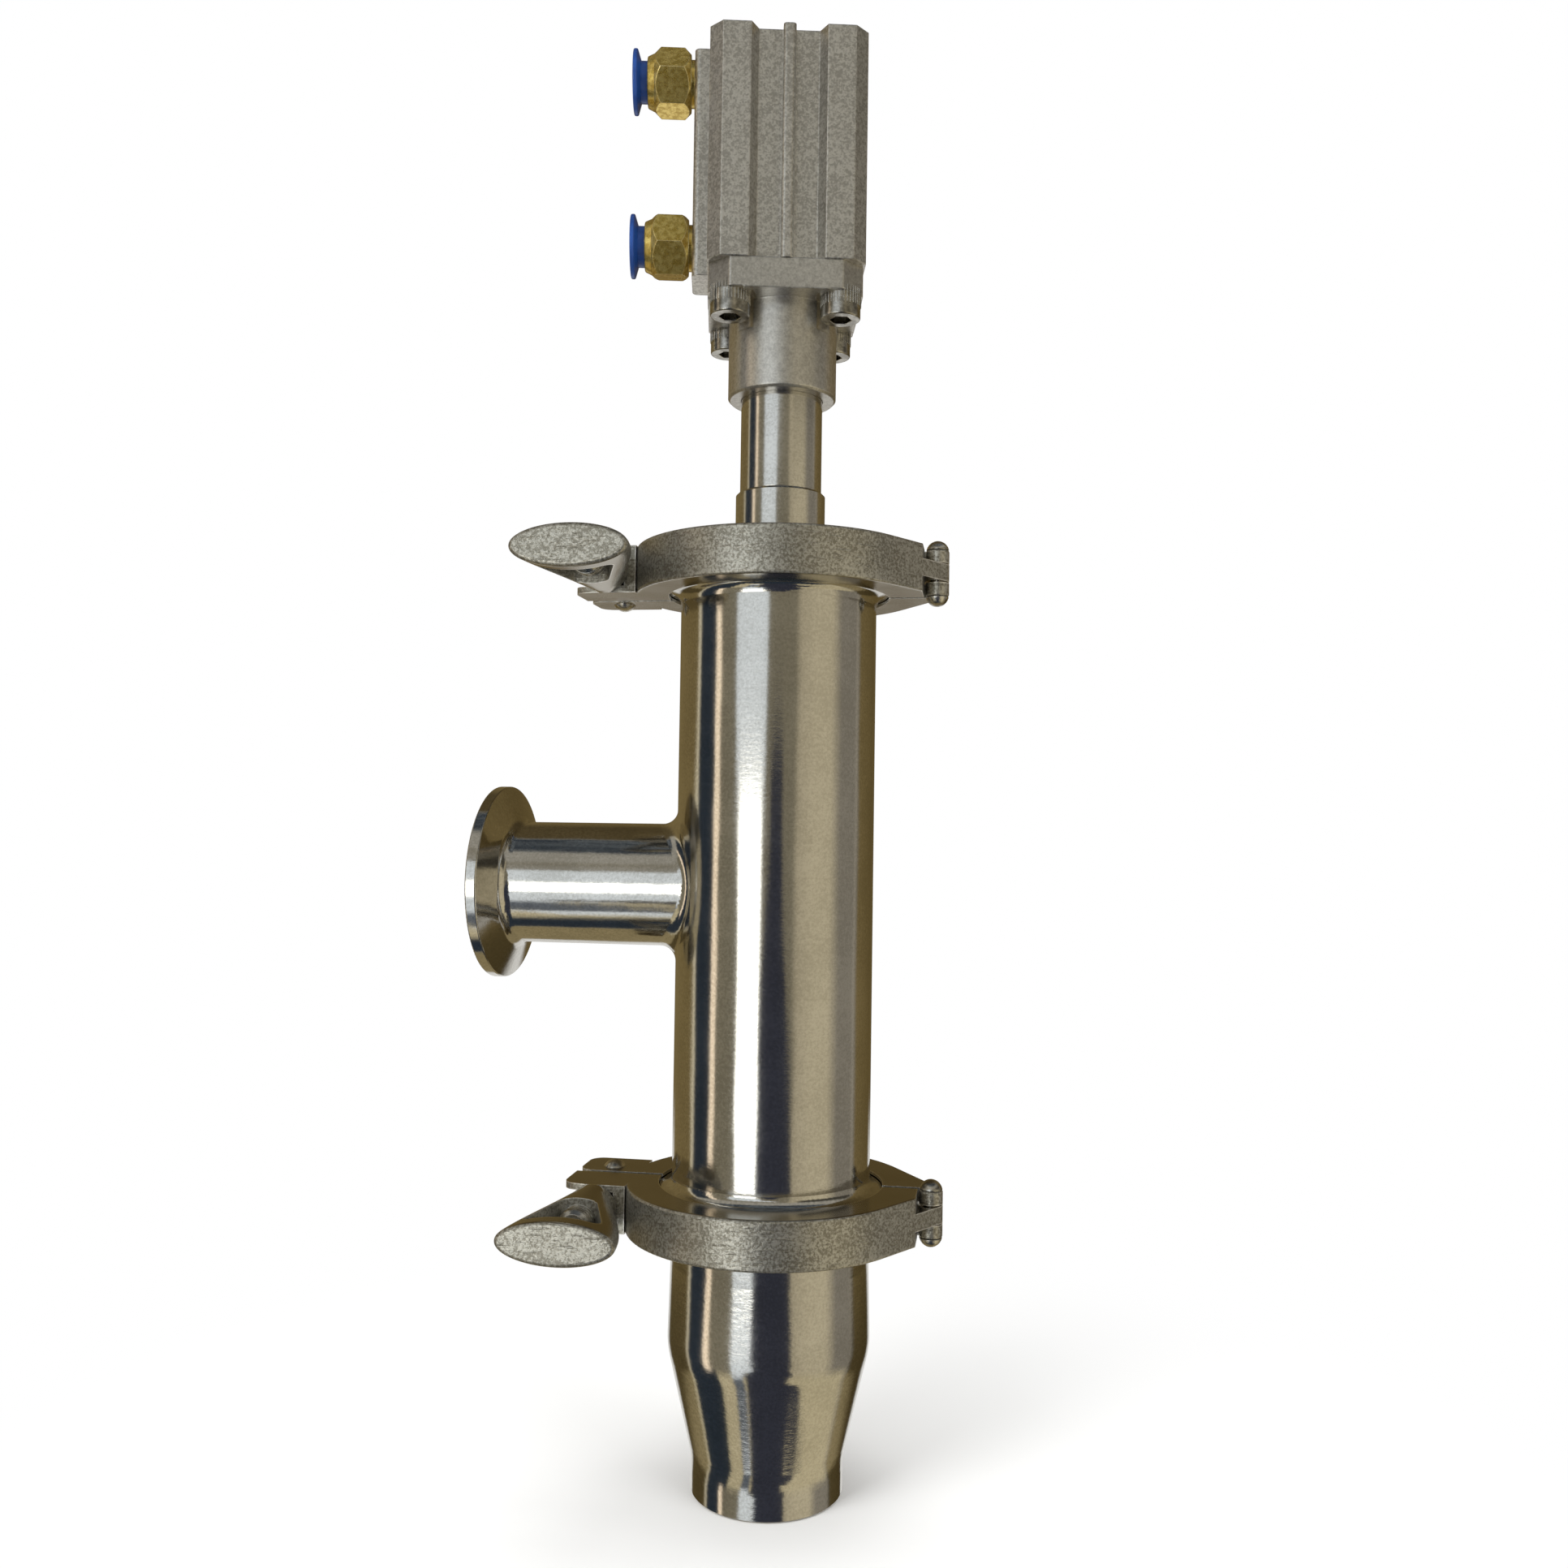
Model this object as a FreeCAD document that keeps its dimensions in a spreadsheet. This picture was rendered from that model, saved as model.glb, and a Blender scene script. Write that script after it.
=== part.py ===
import FreeCAD, Part
import Sketcher
import math
import os

# A pneumatic filling valve for liquids. Every height is counted from the tip face,
# the valve's axis is Z, the inlet branch points to -X and the clamp nuts to -Y.

doc = FreeCAD.newDocument("filling_valve")
sheet = doc.addObject("Spreadsheet::Sheet", "sizes")
vector = FreeCAD.Vector


# Sizes that carry both a number and the sheet formula they come from

class Size:
    def __init__(self, value, formula):
        self.value = float(value)
        self.formula = formula

    def __add__(self, other):
        other = as_size(other)
        return Size(self.value + other.value, f"({self.formula} + {other.formula})")

    def __sub__(self, other):
        other = as_size(other)
        return Size(self.value - other.value, f"({self.formula} - {other.formula})")

    def __mul__(self, other):
        other = as_size(other)
        return Size(self.value * other.value, f"({self.formula} * {other.formula})")

    def __truediv__(self, other):
        other = as_size(other)
        return Size(self.value / other.value, f"({self.formula} / {other.formula})")

    def __neg__(self):
        return Size(-self.value, f"(0 - {self.formula})")

    def __radd__(self, other):
        return as_size(other) + self

    def __rsub__(self, other):
        return as_size(other) - self

    def __rmul__(self, other):
        return as_size(other) * self


def as_size(thing):
    if isinstance(thing, Size):
        return thing
    return Size(thing, f"({float(thing)!r})")


def tangent(angle):
    return Size(math.tan(math.radians(angle.value)), f"tan({angle.formula})")


def root(square):
    return Size(math.sqrt(square.value), f"sqrt({square.formula})")


def size(alias, value, note):
    """One driving dimension: a named row of the sheet."""
    row = size.rows = size.rows + 1
    sheet.set(f"A{row}", note)
    sheet.set(f"B{row}", str(value))
    sheet.setAlias(f"B{row}", alias)
    return Size(value, f"sizes.{alias}")


size.rows = 0

# Tubes and ferrules
tube_od = size("tube_od", 50.8, "outside diameter of the valve's main tube")
tube_wall = size("tube_wall", 1.6, "wall of every welded tube")
branch_od = size("branch_od", 31.8, "outside diameter of the inlet branch")
tip_od = size("tip_od", 38.6, "outside diameter of the nozzle's tip")
rim_od = size("rim_od", 64.0, "rim diameter of the main ferrules")
inlet_rim_od = size("inlet_rim_od", 50.5, "rim diameter of the inlet ferrule")
rim_thick = size("rim_thick", 2.85, "thickness of a ferrule at its rim")
flank_angle = size("flank_angle", 20.0, "slope of a ferrule's back in degrees")
ferrule_length = size("ferrule_length", 12.7, "length of a weld ferrule")
ferrule_blend = size("ferrule_blend", 3.0, "round between a ferrule's back and its tube")
seal_groove_in = size("seal_groove_in", 3.9, "gasket groove's centre in from the rim")
seal_groove_round = size("seal_groove_round", 1.7, "radius of the gasket groove")
bead_play = size("bead_play", 0.2, "bead of the gasket smaller than its groove")
gasket_thick = size("gasket_thick", 2.0, "gasket between two ferrule faces")
gasket_inset = size("gasket_inset", 0.4, "gasket's edges behind the metal's edges")
edge_round = size("edge_round", 0.4, "small round on turned edges")

# Lengths along the valve's axis
nozzle_length = size("nozzle_length", 70.1, "tip face to the nozzle ferrule's face")
tee_length = size("tee_length", 160.4, "face to face of the tee body")
branch_height = size("branch_height", 80.5, "tee's lower face to the branch's axis")
inlet_reach = size("inlet_reach", 74.5, "valve's axis to the inlet ferrule's face")
collar_reach = size("collar_reach", 7.0, "branch collar drawn out of the tube's side")
collar_round = size("collar_round", 4.5, "round where the collar leaves the tube")
knee_height = size("knee_height", 36.5, "tip face to the nozzle's knee")
knee_swell = size("knee_swell", 0.5, "nozzle's knee wider than the tube on each side")
throat_height = size("throat_height", 8.5, "tip face to the end of the nozzle's cone")
nozzle_round = size("nozzle_round", 24.0, "round of the nozzle's knee and throat")

# Top cap with its seal and bush
cap_back = size("cap_back", 5.6, "thickness of the cap's plate")
collar_od = size("collar_od", 23.3, "collar on the cap")
collar_height = size("collar_height", 20.1, "cap's face to the top of its collar")
spigot_length = size("spigot_length", 6.0, "housing tube's spigot in the collar")
spigot_wall = size("spigot_wall", 1.2, "wall of the spigot")
housing_od = size("housing_od", 21.2, "tube between the cap and the actuator")
housing_bore = size("housing_bore", 17.0, "bore of the housing tube and the neck")
housing_length = size("housing_length", 36.7, "housing tube from the collar to its top end")
step_chamfer = size("step_chamfer", 0.5, "chamfer at the top of the collar")
bush_od = size("bush_od", 16.0, "outside of the guide bush and of the stem seal")
lip_thick = size("lip_thick", 2.0, "lip of the cap below the stem seal")
stem_seal_height = size("stem_seal_height", 4.0, "height of the stem seal")
bush_length = size("bush_length", 8.0, "length of the guide bush")
seal_gap = size("seal_gap", 0.1, "side gap of a seal or bush in its seat")

# Stem and plug
stem_od = size("stem_od", 12.0, "valve stem")
running_gap = size("running_gap", 0.05, "radial gap of a running fit")
plug_gap = size("plug_gap", 0.3, "radial gap between the plug and the nozzle's bore")
plug_height = size("plug_height", 9.0, "straight part of the plug")
plug_cone = size("plug_cone", 9.0, "cone from the plug up to the stem")
plug_hub = size("plug_hub", 8.0, "plug's hub up the stem")
plug_hub_wall = size("plug_hub_wall", 1.6, "plug's hub around the stem")
plug_chamfer = size("plug_chamfer", 0.8, "chamfer at the plug's lower edge")
plug_cone_round = size("plug_cone_round", 1.6, "round between the plug's cone and its hub")
plug_ring_height = size("plug_ring_height", 4.6, "tip face to the plug's seal ring")
plug_ring_thick = size("plug_ring_thick", 3.0, "section of the plug's seal ring")
stem_screw_od = size("stem_screw_od", 8.0, "threaded foot of the stem in the plug")
stem_screw_length = size("stem_screw_length", 11.0, "length of the stem's threaded foot")
stem_top = size("stem_top", 279.5, "tip face to the top of the stem")
rod_screw_od = size("rod_screw_od", 8.0, "threaded end of the piston rod")
rod_screw_length = size("rod_screw_length", 14.0, "piston rod's thread inside the stem")
lock_nut_height = size("lock_nut_height", 4.0, "lock nut on the piston rod")
lock_nut_flats = size("lock_nut_flats", 13.0, "lock nut across its flats")

# Actuator's adapter
flange_bottom = size("flange_bottom", 302.2, "tip face to the flange's underside")
flange_thick = size("flange_thick", 7.6, "thickness of the adapter's flange")
flange_side = size("flange_side", 39.2, "side of the square flange")
flange_corner = size("flange_corner", 5.4, "flange's corner cut along each side")
flange_round = size("flange_round", 0.8, "round on the flange's upright edges")
neck_od = size("neck_od", 28.2, "neck below the flange")
neck_length = size("neck_length", 22.9, "length of the neck below the flange")
neck_chamfer = size("neck_chamfer", 0.6, "chamfer at the neck's lower edge")
actuator_turn = size("actuator_turn", 11.5, "actuator turned about the valve's axis")
screw_pitch = size("screw_pitch", 28.0, "spacing of the four flange screws")
screw_od = size("screw_od", 6.0, "flange screw")
screw_gap = size("screw_gap", 0.05, "gap around a screw's shank")
screw_head_od = size("screw_head_od", 10.0, "head of a flange screw")
screw_head_height = size("screw_head_height", 6.0, "height of a screw's head")
screw_socket_flats = size("screw_socket_flats", 5.0, "hexagon socket across its flats")
screw_socket_depth = size("screw_socket_depth", 3.2, "depth of the hexagon socket")
screw_grip = size("screw_grip", 10.0, "screw's thread in the cylinder")
pocket_gap = size("pocket_gap", 1.4, "room for a tool around a screw's head")
spot_depth = size("spot_depth", 0.2, "depth that the screw heads are set into the flange")

# Cylinder
cylinder_length = size("cylinder_length", 59.3, "length of the cylinder's body")
cylinder_side = size("cylinder_side", 40.0, "side of the square cylinder body")
cylinder_corner = size("cylinder_corner", 3.3, "corner cut along each side")
groove_depth = size("groove_depth", 3.3, "depth of the long grooves")
groove_mouth = size("groove_mouth", 9.6, "half width of a groove's mouth")
groove_floor = size("groove_floor", 7.7, "half width of a groove's floor")
rib_half = size("rib_half", 1.6, "half width of the rib in a groove")
rib_round = size("rib_round", 0.9, "round on the rib's edges")
boss_reach = size("boss_reach", 4.0, "port boss proud of the cylinder's side")
boss_half = size("boss_half", 6.8, "half width of the port boss")
boss_round = size("boss_round", 1.5, "round on the port boss's edges")
cylinder_bore = size("cylinder_bore", 25.0, "bore of the cylinder")
head_thick = size("head_thick", 6.5, "closed end of the cylinder")
upper_port_drop = size("upper_port_drop", 5.9, "cylinder's top to the upper port's axis")
lower_port_rise = size("lower_port_rise", 9.6, "cylinder's bottom to the lower port's axis")
port_od = size("port_od", 9.7, "thread of a port")
port_depth = size("port_depth", 8.0, "depth of a port's thread")
air_hole = size("air_hole", 3.0, "air hole from a port into the bore")
top_hole_od = size("top_hole_od", 5.0, "tapping holes in the cylinder's top")
top_hole_depth = size("top_hole_depth", 6.0, "depth of the tapping holes")
snap_ring_thick = size("snap_ring_thick", 1.2, "snap ring that holds the rod cover")
snap_ring_rise = size("snap_ring_rise", 1.0, "cylinder's bottom to the snap ring")
snap_ring_bite = size("snap_ring_bite", 0.9, "snap ring's depth in its groove")
snap_ring_width = size("snap_ring_width", 2.6, "radial width of the snap ring")
snap_ring_mouth = size("snap_ring_mouth", 8.0, "opening between the snap ring's ends")
cover_height = size("cover_height", 10.0, "height of the rod cover")
cover_seal_height = size("cover_seal_height", 3.0, "height of the rod seal in the cover")
cover_seal_od = size("cover_seal_od", 15.0, "outside of the rod seal")
cover_seal_rise = size("cover_seal_rise", 4.0, "rod cover's top to the rod seal")
rod_od = size("rod_od", 10.0, "piston rod")
piston_height = size("piston_height", 12.0, "height of the piston")
piston_rest_gap = size("piston_rest_gap", 0.5, "piston above the rod cover when closed")
piston_gap = size("piston_gap", 0.2, "radial gap between the piston and the bore")
piston_seal_height = size("piston_seal_height", 3.0, "height of a piston seal")
piston_seal_depth = size("piston_seal_depth", 2.4, "depth of a piston seal's groove")
magnet_height = size("magnet_height", 3.0, "height of the magnet ring")
magnet_depth = size("magnet_depth", 3.0, "radial depth of the magnet ring")
piston_screw_od = size("piston_screw_od", 6.0, "rod's spigot through the piston")
piston_nut_flats = size("piston_nut_flats", 10.0, "piston nut across its flats")
piston_nut_height = size("piston_nut_height", 3.2, "height of the piston nut")

# Push-in fittings
fitting_flats = size("fitting_flats", 14.8, "brass hexagon across its flats")
lower_fitting_turn = size("lower_fitting_turn", 19.0, "lower hexagon turned about its axis")
upper_fitting_turn = size("upper_fitting_turn", 30.0, "upper hexagon turned about its axis")
fitting_hex_length = size("fitting_hex_length", 9.6, "length of the hexagon")
fitting_end_od = size("fitting_end_od", 13.9, "diameter of the hexagon's turned end faces")
fitting_end_slope = size("fitting_end_slope", 1.7, "length of the turned ends")
fitting_nose_od = size("fitting_nose_od", 12.3, "front of the brass body's tapered nose")
fitting_nose_length = size("fitting_nose_length", 1.8, "length of the nose")
fitting_neck_od = size("fitting_neck_od", 11.6, "neck between the hexagon and the boss")
fitting_neck_length = size("fitting_neck_length", 1.0, "length of that neck")
tube_socket_od = size("tube_socket_od", 8.2, "bore for the air tube")
tube_socket_depth = size("tube_socket_depth", 5.0, "tube socket behind the seal")
fitting_bore = size("fitting_bore", 5.0, "air passage of the fitting")
sleeve_bore = size("sleeve_bore", 11.0, "front bore for the release collar and the grab ring")
release_disc_od = size("release_disc_od", 16.0, "thumb disc of the release collar")
release_disc_thick = size("release_disc_thick", 1.2, "thickness of the thumb disc")
release_dish = size("release_dish", 0.9, "thumb disc dished away from the fitting")
release_sleeve_od = size("release_sleeve_od", 10.6, "sleeve of the release collar")
release_bore = size("release_bore", 8.3, "bore of the release collar, the grab ring and the tube seal")
release_stroke = size("release_stroke", 1.0, "travel of the release collar")
release_neck = size("release_neck", 1.7, "release collar's neck outside the nose")
release_depth = size("release_depth", 3.4, "release collar's sleeve in the nose")
release_gap = size("release_gap", 0.3, "gap that the release collar keeps")
grab_ring_thick = size("grab_ring_thick", 1.2, "thickness of the grab ring")
tube_seal_thick = size("tube_seal_thick", 1.3, "section of the tube seal")

# Clamps
clamp_od = size("clamp_od", 74.3, "outside of the clamp ring")
clamp_mouth = size("clamp_mouth", 57.4, "opening of the clamp around the tubes")
clamp_height = size("clamp_height", 12.1, "height of the clamp ring")
clamp_floor_gap = size("clamp_floor_gap", 0.5, "clamp's groove floor off the ferrule's rim")
clamp_flank_gap = size("clamp_flank_gap", 0.25, "clamp's flank off the ferrule's back")
clamp_split = size("clamp_split", 1.6, "gap between the clamp halves")
clamp_round = size("clamp_round", 0.7, "round on the clamp's outer edges")
hinge_reach = size("hinge_reach", 41.1, "valve's axis to the clamp's hinge pin")
hinge_pin_od = size("hinge_pin_od", 3.6, "clamp's hinge pin")
hinge_boss_od = size("hinge_boss_od", 6.0, "knuckles around the hinge pin")
tongue_height = size("tongue_height", 4.4, "middle knuckle on the front half")
knuckle_gap = size("knuckle_gap", 0.3, "gap beside a knuckle and beside the eye")
pin_head_od = size("pin_head_od", 5.8, "domed head of a clamp's pin")
pivot_head_height = size("pivot_head_height", 1.8, "height of the pivot pin's heads")
hinge_head_height = size("hinge_head_height", 2.4, "height of the hinge pin's heads")
bolt_reach = size("bolt_reach", 43.2, "valve's axis to the clamp's bolt")
lug_half = size("lug_half", 8.2, "half width of a clamp's lug")
lug_round = size("lug_round", 3.6, "round on a lug's outer corners")
front_lug_reach = size("front_lug_reach", 13.7, "valve's axis to the front lug's seat")
seat_flat = size("seat_flat", 2.0, "flat of the seat out from the bolt")
pivot_reach = size("pivot_reach", 6.5, "valve's axis back to the bolt's pivot")
rear_lug_reach = size("rear_lug_reach", 14.4, "valve's axis to the rear lug's back")
lug_slot = size("lug_slot", 8.7, "height of the slots in the lugs")
slot_wall = size("slot_wall", 3.0, "slot's closed end from the lug's inner side")
bolt_od = size("bolt_od", 8.0, "clamp's eye bolt")
bolt_chamfer = size("bolt_chamfer", 0.9, "chamfer at the bolt's end")
eye_od = size("eye_od", 11.0, "eye of the bolt")
pivot_pin_od = size("pivot_pin_od", 4.0, "pivot pin of the bolt")
bolt_length = size("bolt_length", 37.0, "pivot to the end of the bolt")
nut_gap = size("nut_gap", 0.35, "nut's seat off the lug")
nut_length = size("nut_length", 31.0, "nut's seat to its thumb pad")
nut_hub_od = size("nut_hub_od", 12.4, "nut's round hub")
nut_hub_length = size("nut_hub_length", 3.0, "straight length of the hub")
nut_pad_width = size("nut_pad_width", 29.2, "thumb pad's width")
nut_pad_height = size("nut_pad_height", 10.6, "thumb pad's height")
nut_pad_thick = size("nut_pad_thick", 4.4, "wall behind the thumb pad")
nut_pad_round = size("nut_pad_round", 1.0, "round around the thumb pad")
nut_waist_reach = size("nut_waist_reach", 12.8, "nut's seat to the waist of its loop")
nut_waist_width = size("nut_waist_width", 20.2, "width of the loop's waist")
nut_waist_height = size("nut_waist_height", 11.5, "height of the loop's waist")
nut_shoulder_drop = size("nut_shoulder_drop", 5.6, "thumb pad back to the loop's shoulder")
nut_shoulder_inset = size("nut_shoulder_inset", 0.7, "shoulder narrower than the pad on each side")
nut_wall = size("nut_wall", 4.2, "side walls of the nut's loop")
nut_thread_length = size("nut_thread_length", 11.5, "threaded length of the nut")
window_gap = size("window_gap", 0.6, "window wider than the bolt on each side")
window_round = size("window_round", 2.2, "round in the window's corners")

doc.recompute()

# Heights that follow from the lengths
lower_joint = nozzle_length + gasket_thick / 2
tee_bottom = nozzle_length + gasket_thick
tee_top = tee_bottom + tee_length
upper_joint = tee_top + gasket_thick / 2
cap_face = tee_top + gasket_thick
inlet_axis = tee_bottom + branch_height
collar_top = cap_face + collar_height
housing_top = collar_top + housing_length
flange_top = flange_bottom + flange_thick
neck_bottom = flange_bottom - neck_length
cylinder_top = flange_top + cylinder_length
tube_bore = tube_od - 2 * tube_wall
tip_bore = tip_od - 2 * tube_wall
branch_bore = branch_od - 2 * tube_wall
collar_face = tube_od / 2 + collar_reach
boss_face = cylinder_side / 2 + boss_reach

# Places along the stem, counted from the tip face
stem_seal_bottom = cap_face + lip_thick
bush_bottom = stem_seal_bottom + stem_seal_height
plug_shoulder = plug_height + plug_cone
plug_foot = plug_shoulder - stem_screw_length
cover_bottom = flange_top + snap_ring_rise + snap_ring_thick + seal_gap
cover_top = cover_bottom + cover_height
rod_seal_bottom = cover_top - cover_seal_rise
piston_bottom = cover_top + piston_rest_gap
piston_top = piston_bottom + piston_height

# Radii and grooves of the piston
piston_outer = cylinder_bore / 2 - piston_gap
piston_seal_floor = piston_outer - piston_seal_depth
magnet_floor = piston_outer - magnet_depth
piston_land = (piston_height - magnet_height - 2 * piston_seal_height) / 4
magnet_low = (piston_height - magnet_height) / 2
lower_groove_low = piston_land
upper_groove_low = piston_height - piston_land - piston_seal_height

# Places along a fitting, counted from the boss that carries it
fitting_hex_end = fitting_neck_length + fitting_hex_length
fitting_nose = fitting_hex_end + fitting_nose_length
grab_ring_top = fitting_nose - release_depth - release_stroke - release_gap
grab_ring_low = grab_ring_top - grab_ring_thick
tube_seal_low = grab_ring_low - tube_seal_thick - seal_gap
tube_socket_floor = tube_seal_low - tube_socket_depth
release_disc_low = fitting_nose + release_neck


# Tools for sketches and features

def bind(thing, name, amount):
    amount = as_size(amount)
    thing.setExpression(name, amount.formula)


def new_body(label, height=None, turn=None, upside_down=False):
    """A sub-part, lifted to its height and turned about the valve's axis.
    One that is upside down is first turned over about X."""
    body = doc.addObject("PartDesign::Body", label)
    body.Label = label
    if upside_down:
        body.Placement = FreeCAD.Placement(vector(), FreeCAD.Rotation(vector(1, 0, 0), 180))
    if height is not None:
        bind(body, ".Placement.Base.z", height)
    if turn is not None:
        bind(body, ".Placement.Rotation.Angle", turn)
    return body


def sketch_on(body, role, lift=None):
    """A sketch on one of the body's own planes, moved along the plane's normal."""
    plane = next(f for f in body.Origin.OriginFeatures if f.Role == role)
    sketch = body.newObject("Sketcher::SketchObject", "sketch")
    sketch.AttachmentSupport = [(plane, "")]
    sketch.MapMode = "FlatFace"
    if lift is not None:
        bind(sketch, ".AttachmentOffset.Base.z", lift)
    return sketch


def hold(sketch, shape, point, x, y):
    """Ties one point of a sketch to its two coordinates."""
    for kind, amount in (("DistanceX", as_size(x)), ("DistanceY", as_size(y))):
        rule = Sketcher.Constraint(kind, -1, 1, shape, point, amount.value)
        index = sketch.addConstraint(rule)
        bind(sketch, f"Constraints[{index}]", amount)


def outline(sketch, corners):
    """A closed run of edges. A corner with a third value starts an arc of that radius,
    which turns left when the radius is positive and right when it is negative."""
    places = [(as_size(corner[0]), as_size(corner[1])) for corner in corners]
    points = [vector(x.value, y.value, 0) for x, y in places]
    first = sketch.GeometryCount
    count = len(points)
    ends = []
    for index, corner in enumerate(corners):
        start = points[index]
        finish = points[(index + 1) % count]
        if len(corner) == 2:
            sketch.addGeometry(Part.LineSegment(start, finish), False)
            ends.append((1, 2))
            continue
        radius = as_size(corner[2])
        left = radius.value > 0
        span = finish - start
        rise = math.sqrt(radius.value ** 2 - (span.Length / 2) ** 2)
        side = vector(-span.y, span.x, 0).normalize() * (rise if left else -rise)
        middle = (start + finish) * 0.5 + side
        opening, closing = (start, finish) if left else (finish, start)
        angles = [math.atan2(point.y - middle.y, point.x - middle.x) for point in (opening, closing)]
        rim = Part.Circle(middle, vector(0, 0, 1), abs(radius.value))
        arc = sketch.addGeometry(Part.ArcOfCircle(rim, angles[0], angles[1]), False)
        ends.append((1, 2) if left else (2, 1))
        rule = sketch.addConstraint(Sketcher.Constraint("Radius", arc, abs(radius.value)))
        bind(sketch, f"Constraints[{rule}]", radius if left else -radius)
    for index in range(count):
        following = (index + 1) % count
        sketch.addConstraint(Sketcher.Constraint("Coincident", first + index, ends[index][1],
                                                 first + following, ends[following][0]))
    for index, (x, y) in enumerate(places):
        hold(sketch, first + index, ends[index][0], x, y)


def circle(sketch, radius, x=0, y=0):
    radius = as_size(radius)
    middle = vector(as_size(x).value, as_size(y).value, 0)
    shape = sketch.addGeometry(Part.Circle(middle, vector(0, 0, 1), radius.value), False)
    index = sketch.addConstraint(Sketcher.Constraint("Radius", shape, radius.value))
    bind(sketch, f"Constraints[{index}]", radius)
    hold(sketch, shape, 3, x, y)


def rectangle(sketch, left, right, bottom, top):
    outline(sketch, [(left, bottom), (right, bottom), (right, top), (left, top)])


def hexagon(sketch, flats, x=0, y=0, turn=0):
    """A hexagon of the given size across its flats, with a corner turned so far from +X."""
    reach = flats / math.sqrt(3)
    angles = [math.radians(60 * step + turn) for step in range(6)]
    outline(sketch, [(x + reach * math.cos(a), y + reach * math.sin(a)) for a in angles])


def turned(body, corners, kind="PartDesign::Revolution"):
    """A profile of radius and height, turned about the vertical axis."""
    sketch = sketch_on(body, "XZ_Plane")
    outline(sketch, corners)
    turn_sketch(body, sketch, kind)


def turn_sketch(body, sketch, kind="PartDesign::Revolution"):
    feature = body.newObject(kind, "turned")
    feature.Profile = sketch
    feature.ReferenceAxis = (sketch, ["V_Axis"])
    feature.Angle = 360


def pad(body, sketch, length, both_ways=False, backwards=False):
    feature = body.newObject("PartDesign::Pad", "pad")
    feature.Profile = sketch
    feature.Midplane = both_ways
    feature.Reversed = backwards
    bind(feature, "Length", length)


def pocket(body, sketch, depth, both_ways=False, backwards=False):
    """Cuts a sketch into the body, and makes sure that it took something away."""
    doc.recompute()
    before = body.Shape.Volume
    feature = body.newObject("PartDesign::Pocket", "pocket")
    feature.Profile = sketch
    feature.Midplane = both_ways
    feature.Reversed = backwards
    bind(feature, "Length", depth)
    doc.recompute()
    if not body.Shape.Volume < before:
        raise RuntimeError(f"a pocket of {body.Label} cuts nothing")


def dress(body, kind, amount, chosen):
    """Rounds or chamfers the edges of the body's tip that the test chooses."""
    doc.recompute()
    base = body.Tip
    names = [f"Edge{i + 1}" for i, edge in enumerate(base.Shape.Edges) if chosen(edge)]
    if not names:
        raise RuntimeError(f"no edge to dress on {body.Label}")
    feature = body.newObject("PartDesign::" + kind, kind.lower())
    feature.Base = (base, names)
    bind(feature, "Radius" if kind == "Fillet" else "Size", amount)


def ring_edge(*wanted):
    """Chooses the circular edges about the vertical axis at the given radius and height."""
    def chosen(edge):
        if not isinstance(edge.Curve, Part.Circle):
            return False
        middle = edge.Curve.Center
        if math.hypot(middle.x, middle.y) > 0.01:
            return False
        for radius, height in wanted:
            near = abs(edge.Curve.Radius - as_size(radius).value) < 0.01
            if near and abs(middle.z - as_size(height).value) < 0.01:
                return True
        return False
    return chosen


def upright_edge(reach_from, reach_to):
    """Chooses straight vertical edges whose distance from the Z axis is in a range."""
    def chosen(edge):
        if not isinstance(edge.Curve, Part.Line):
            return False
        start = edge.Vertexes[0].Point
        end = edge.Vertexes[-1].Point
        if math.hypot(start.x - end.x, start.y - end.y) > 0.01:
            return False
        return reach_from < math.hypot(start.x, start.y) < reach_to
    return chosen


# Welded ferrules, gaskets and tubes

def make_ferrule(label, rim, tube, height=None, upside_down=False):
    """A weld ferrule whose sealing face is at the body's origin."""
    body = new_body(label, height, upside_down=upside_down)
    slope_end = rim_thick + (rim - tube) / 2 * tangent(flank_angle)
    bore = tube / 2 - tube_wall
    turned(body, [(bore, 0), (rim / 2, 0), (rim / 2, rim_thick), (tube / 2, slope_end),
                  (tube / 2, ferrule_length), (bore, ferrule_length)])
    groove = sketch_on(body, "XZ_Plane")
    circle(groove, seal_groove_round, rim / 2 - seal_groove_in, -bead_play * 2)
    turn_sketch(body, groove, "PartDesign::Groove")
    dress(body, "Fillet", ferrule_blend, ring_edge((tube / 2, slope_end)))
    dress(body, "Fillet", edge_round, ring_edge((rim / 2, 0), (rim / 2, rim_thick)))
    return body


def make_gasket(label, height):
    """A flat ring with a bead on each side, centred on its joint."""
    body = new_body(label, height)
    half = gasket_thick / 2
    inner = tube_bore / 2 + gasket_inset
    outer = rim_od / 2 - gasket_inset
    turned(body, [(inner, -half), (outer, -half), (outer, half), (inner, half)])
    for side in (-1, 1):
        bead = sketch_on(body, "XZ_Plane")
        bead_height = side * (half - bead_play * 2)
        circle(bead, seal_groove_round - bead_play, rim_od / 2 - seal_groove_in, bead_height)
        turn_sketch(body, bead)


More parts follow.
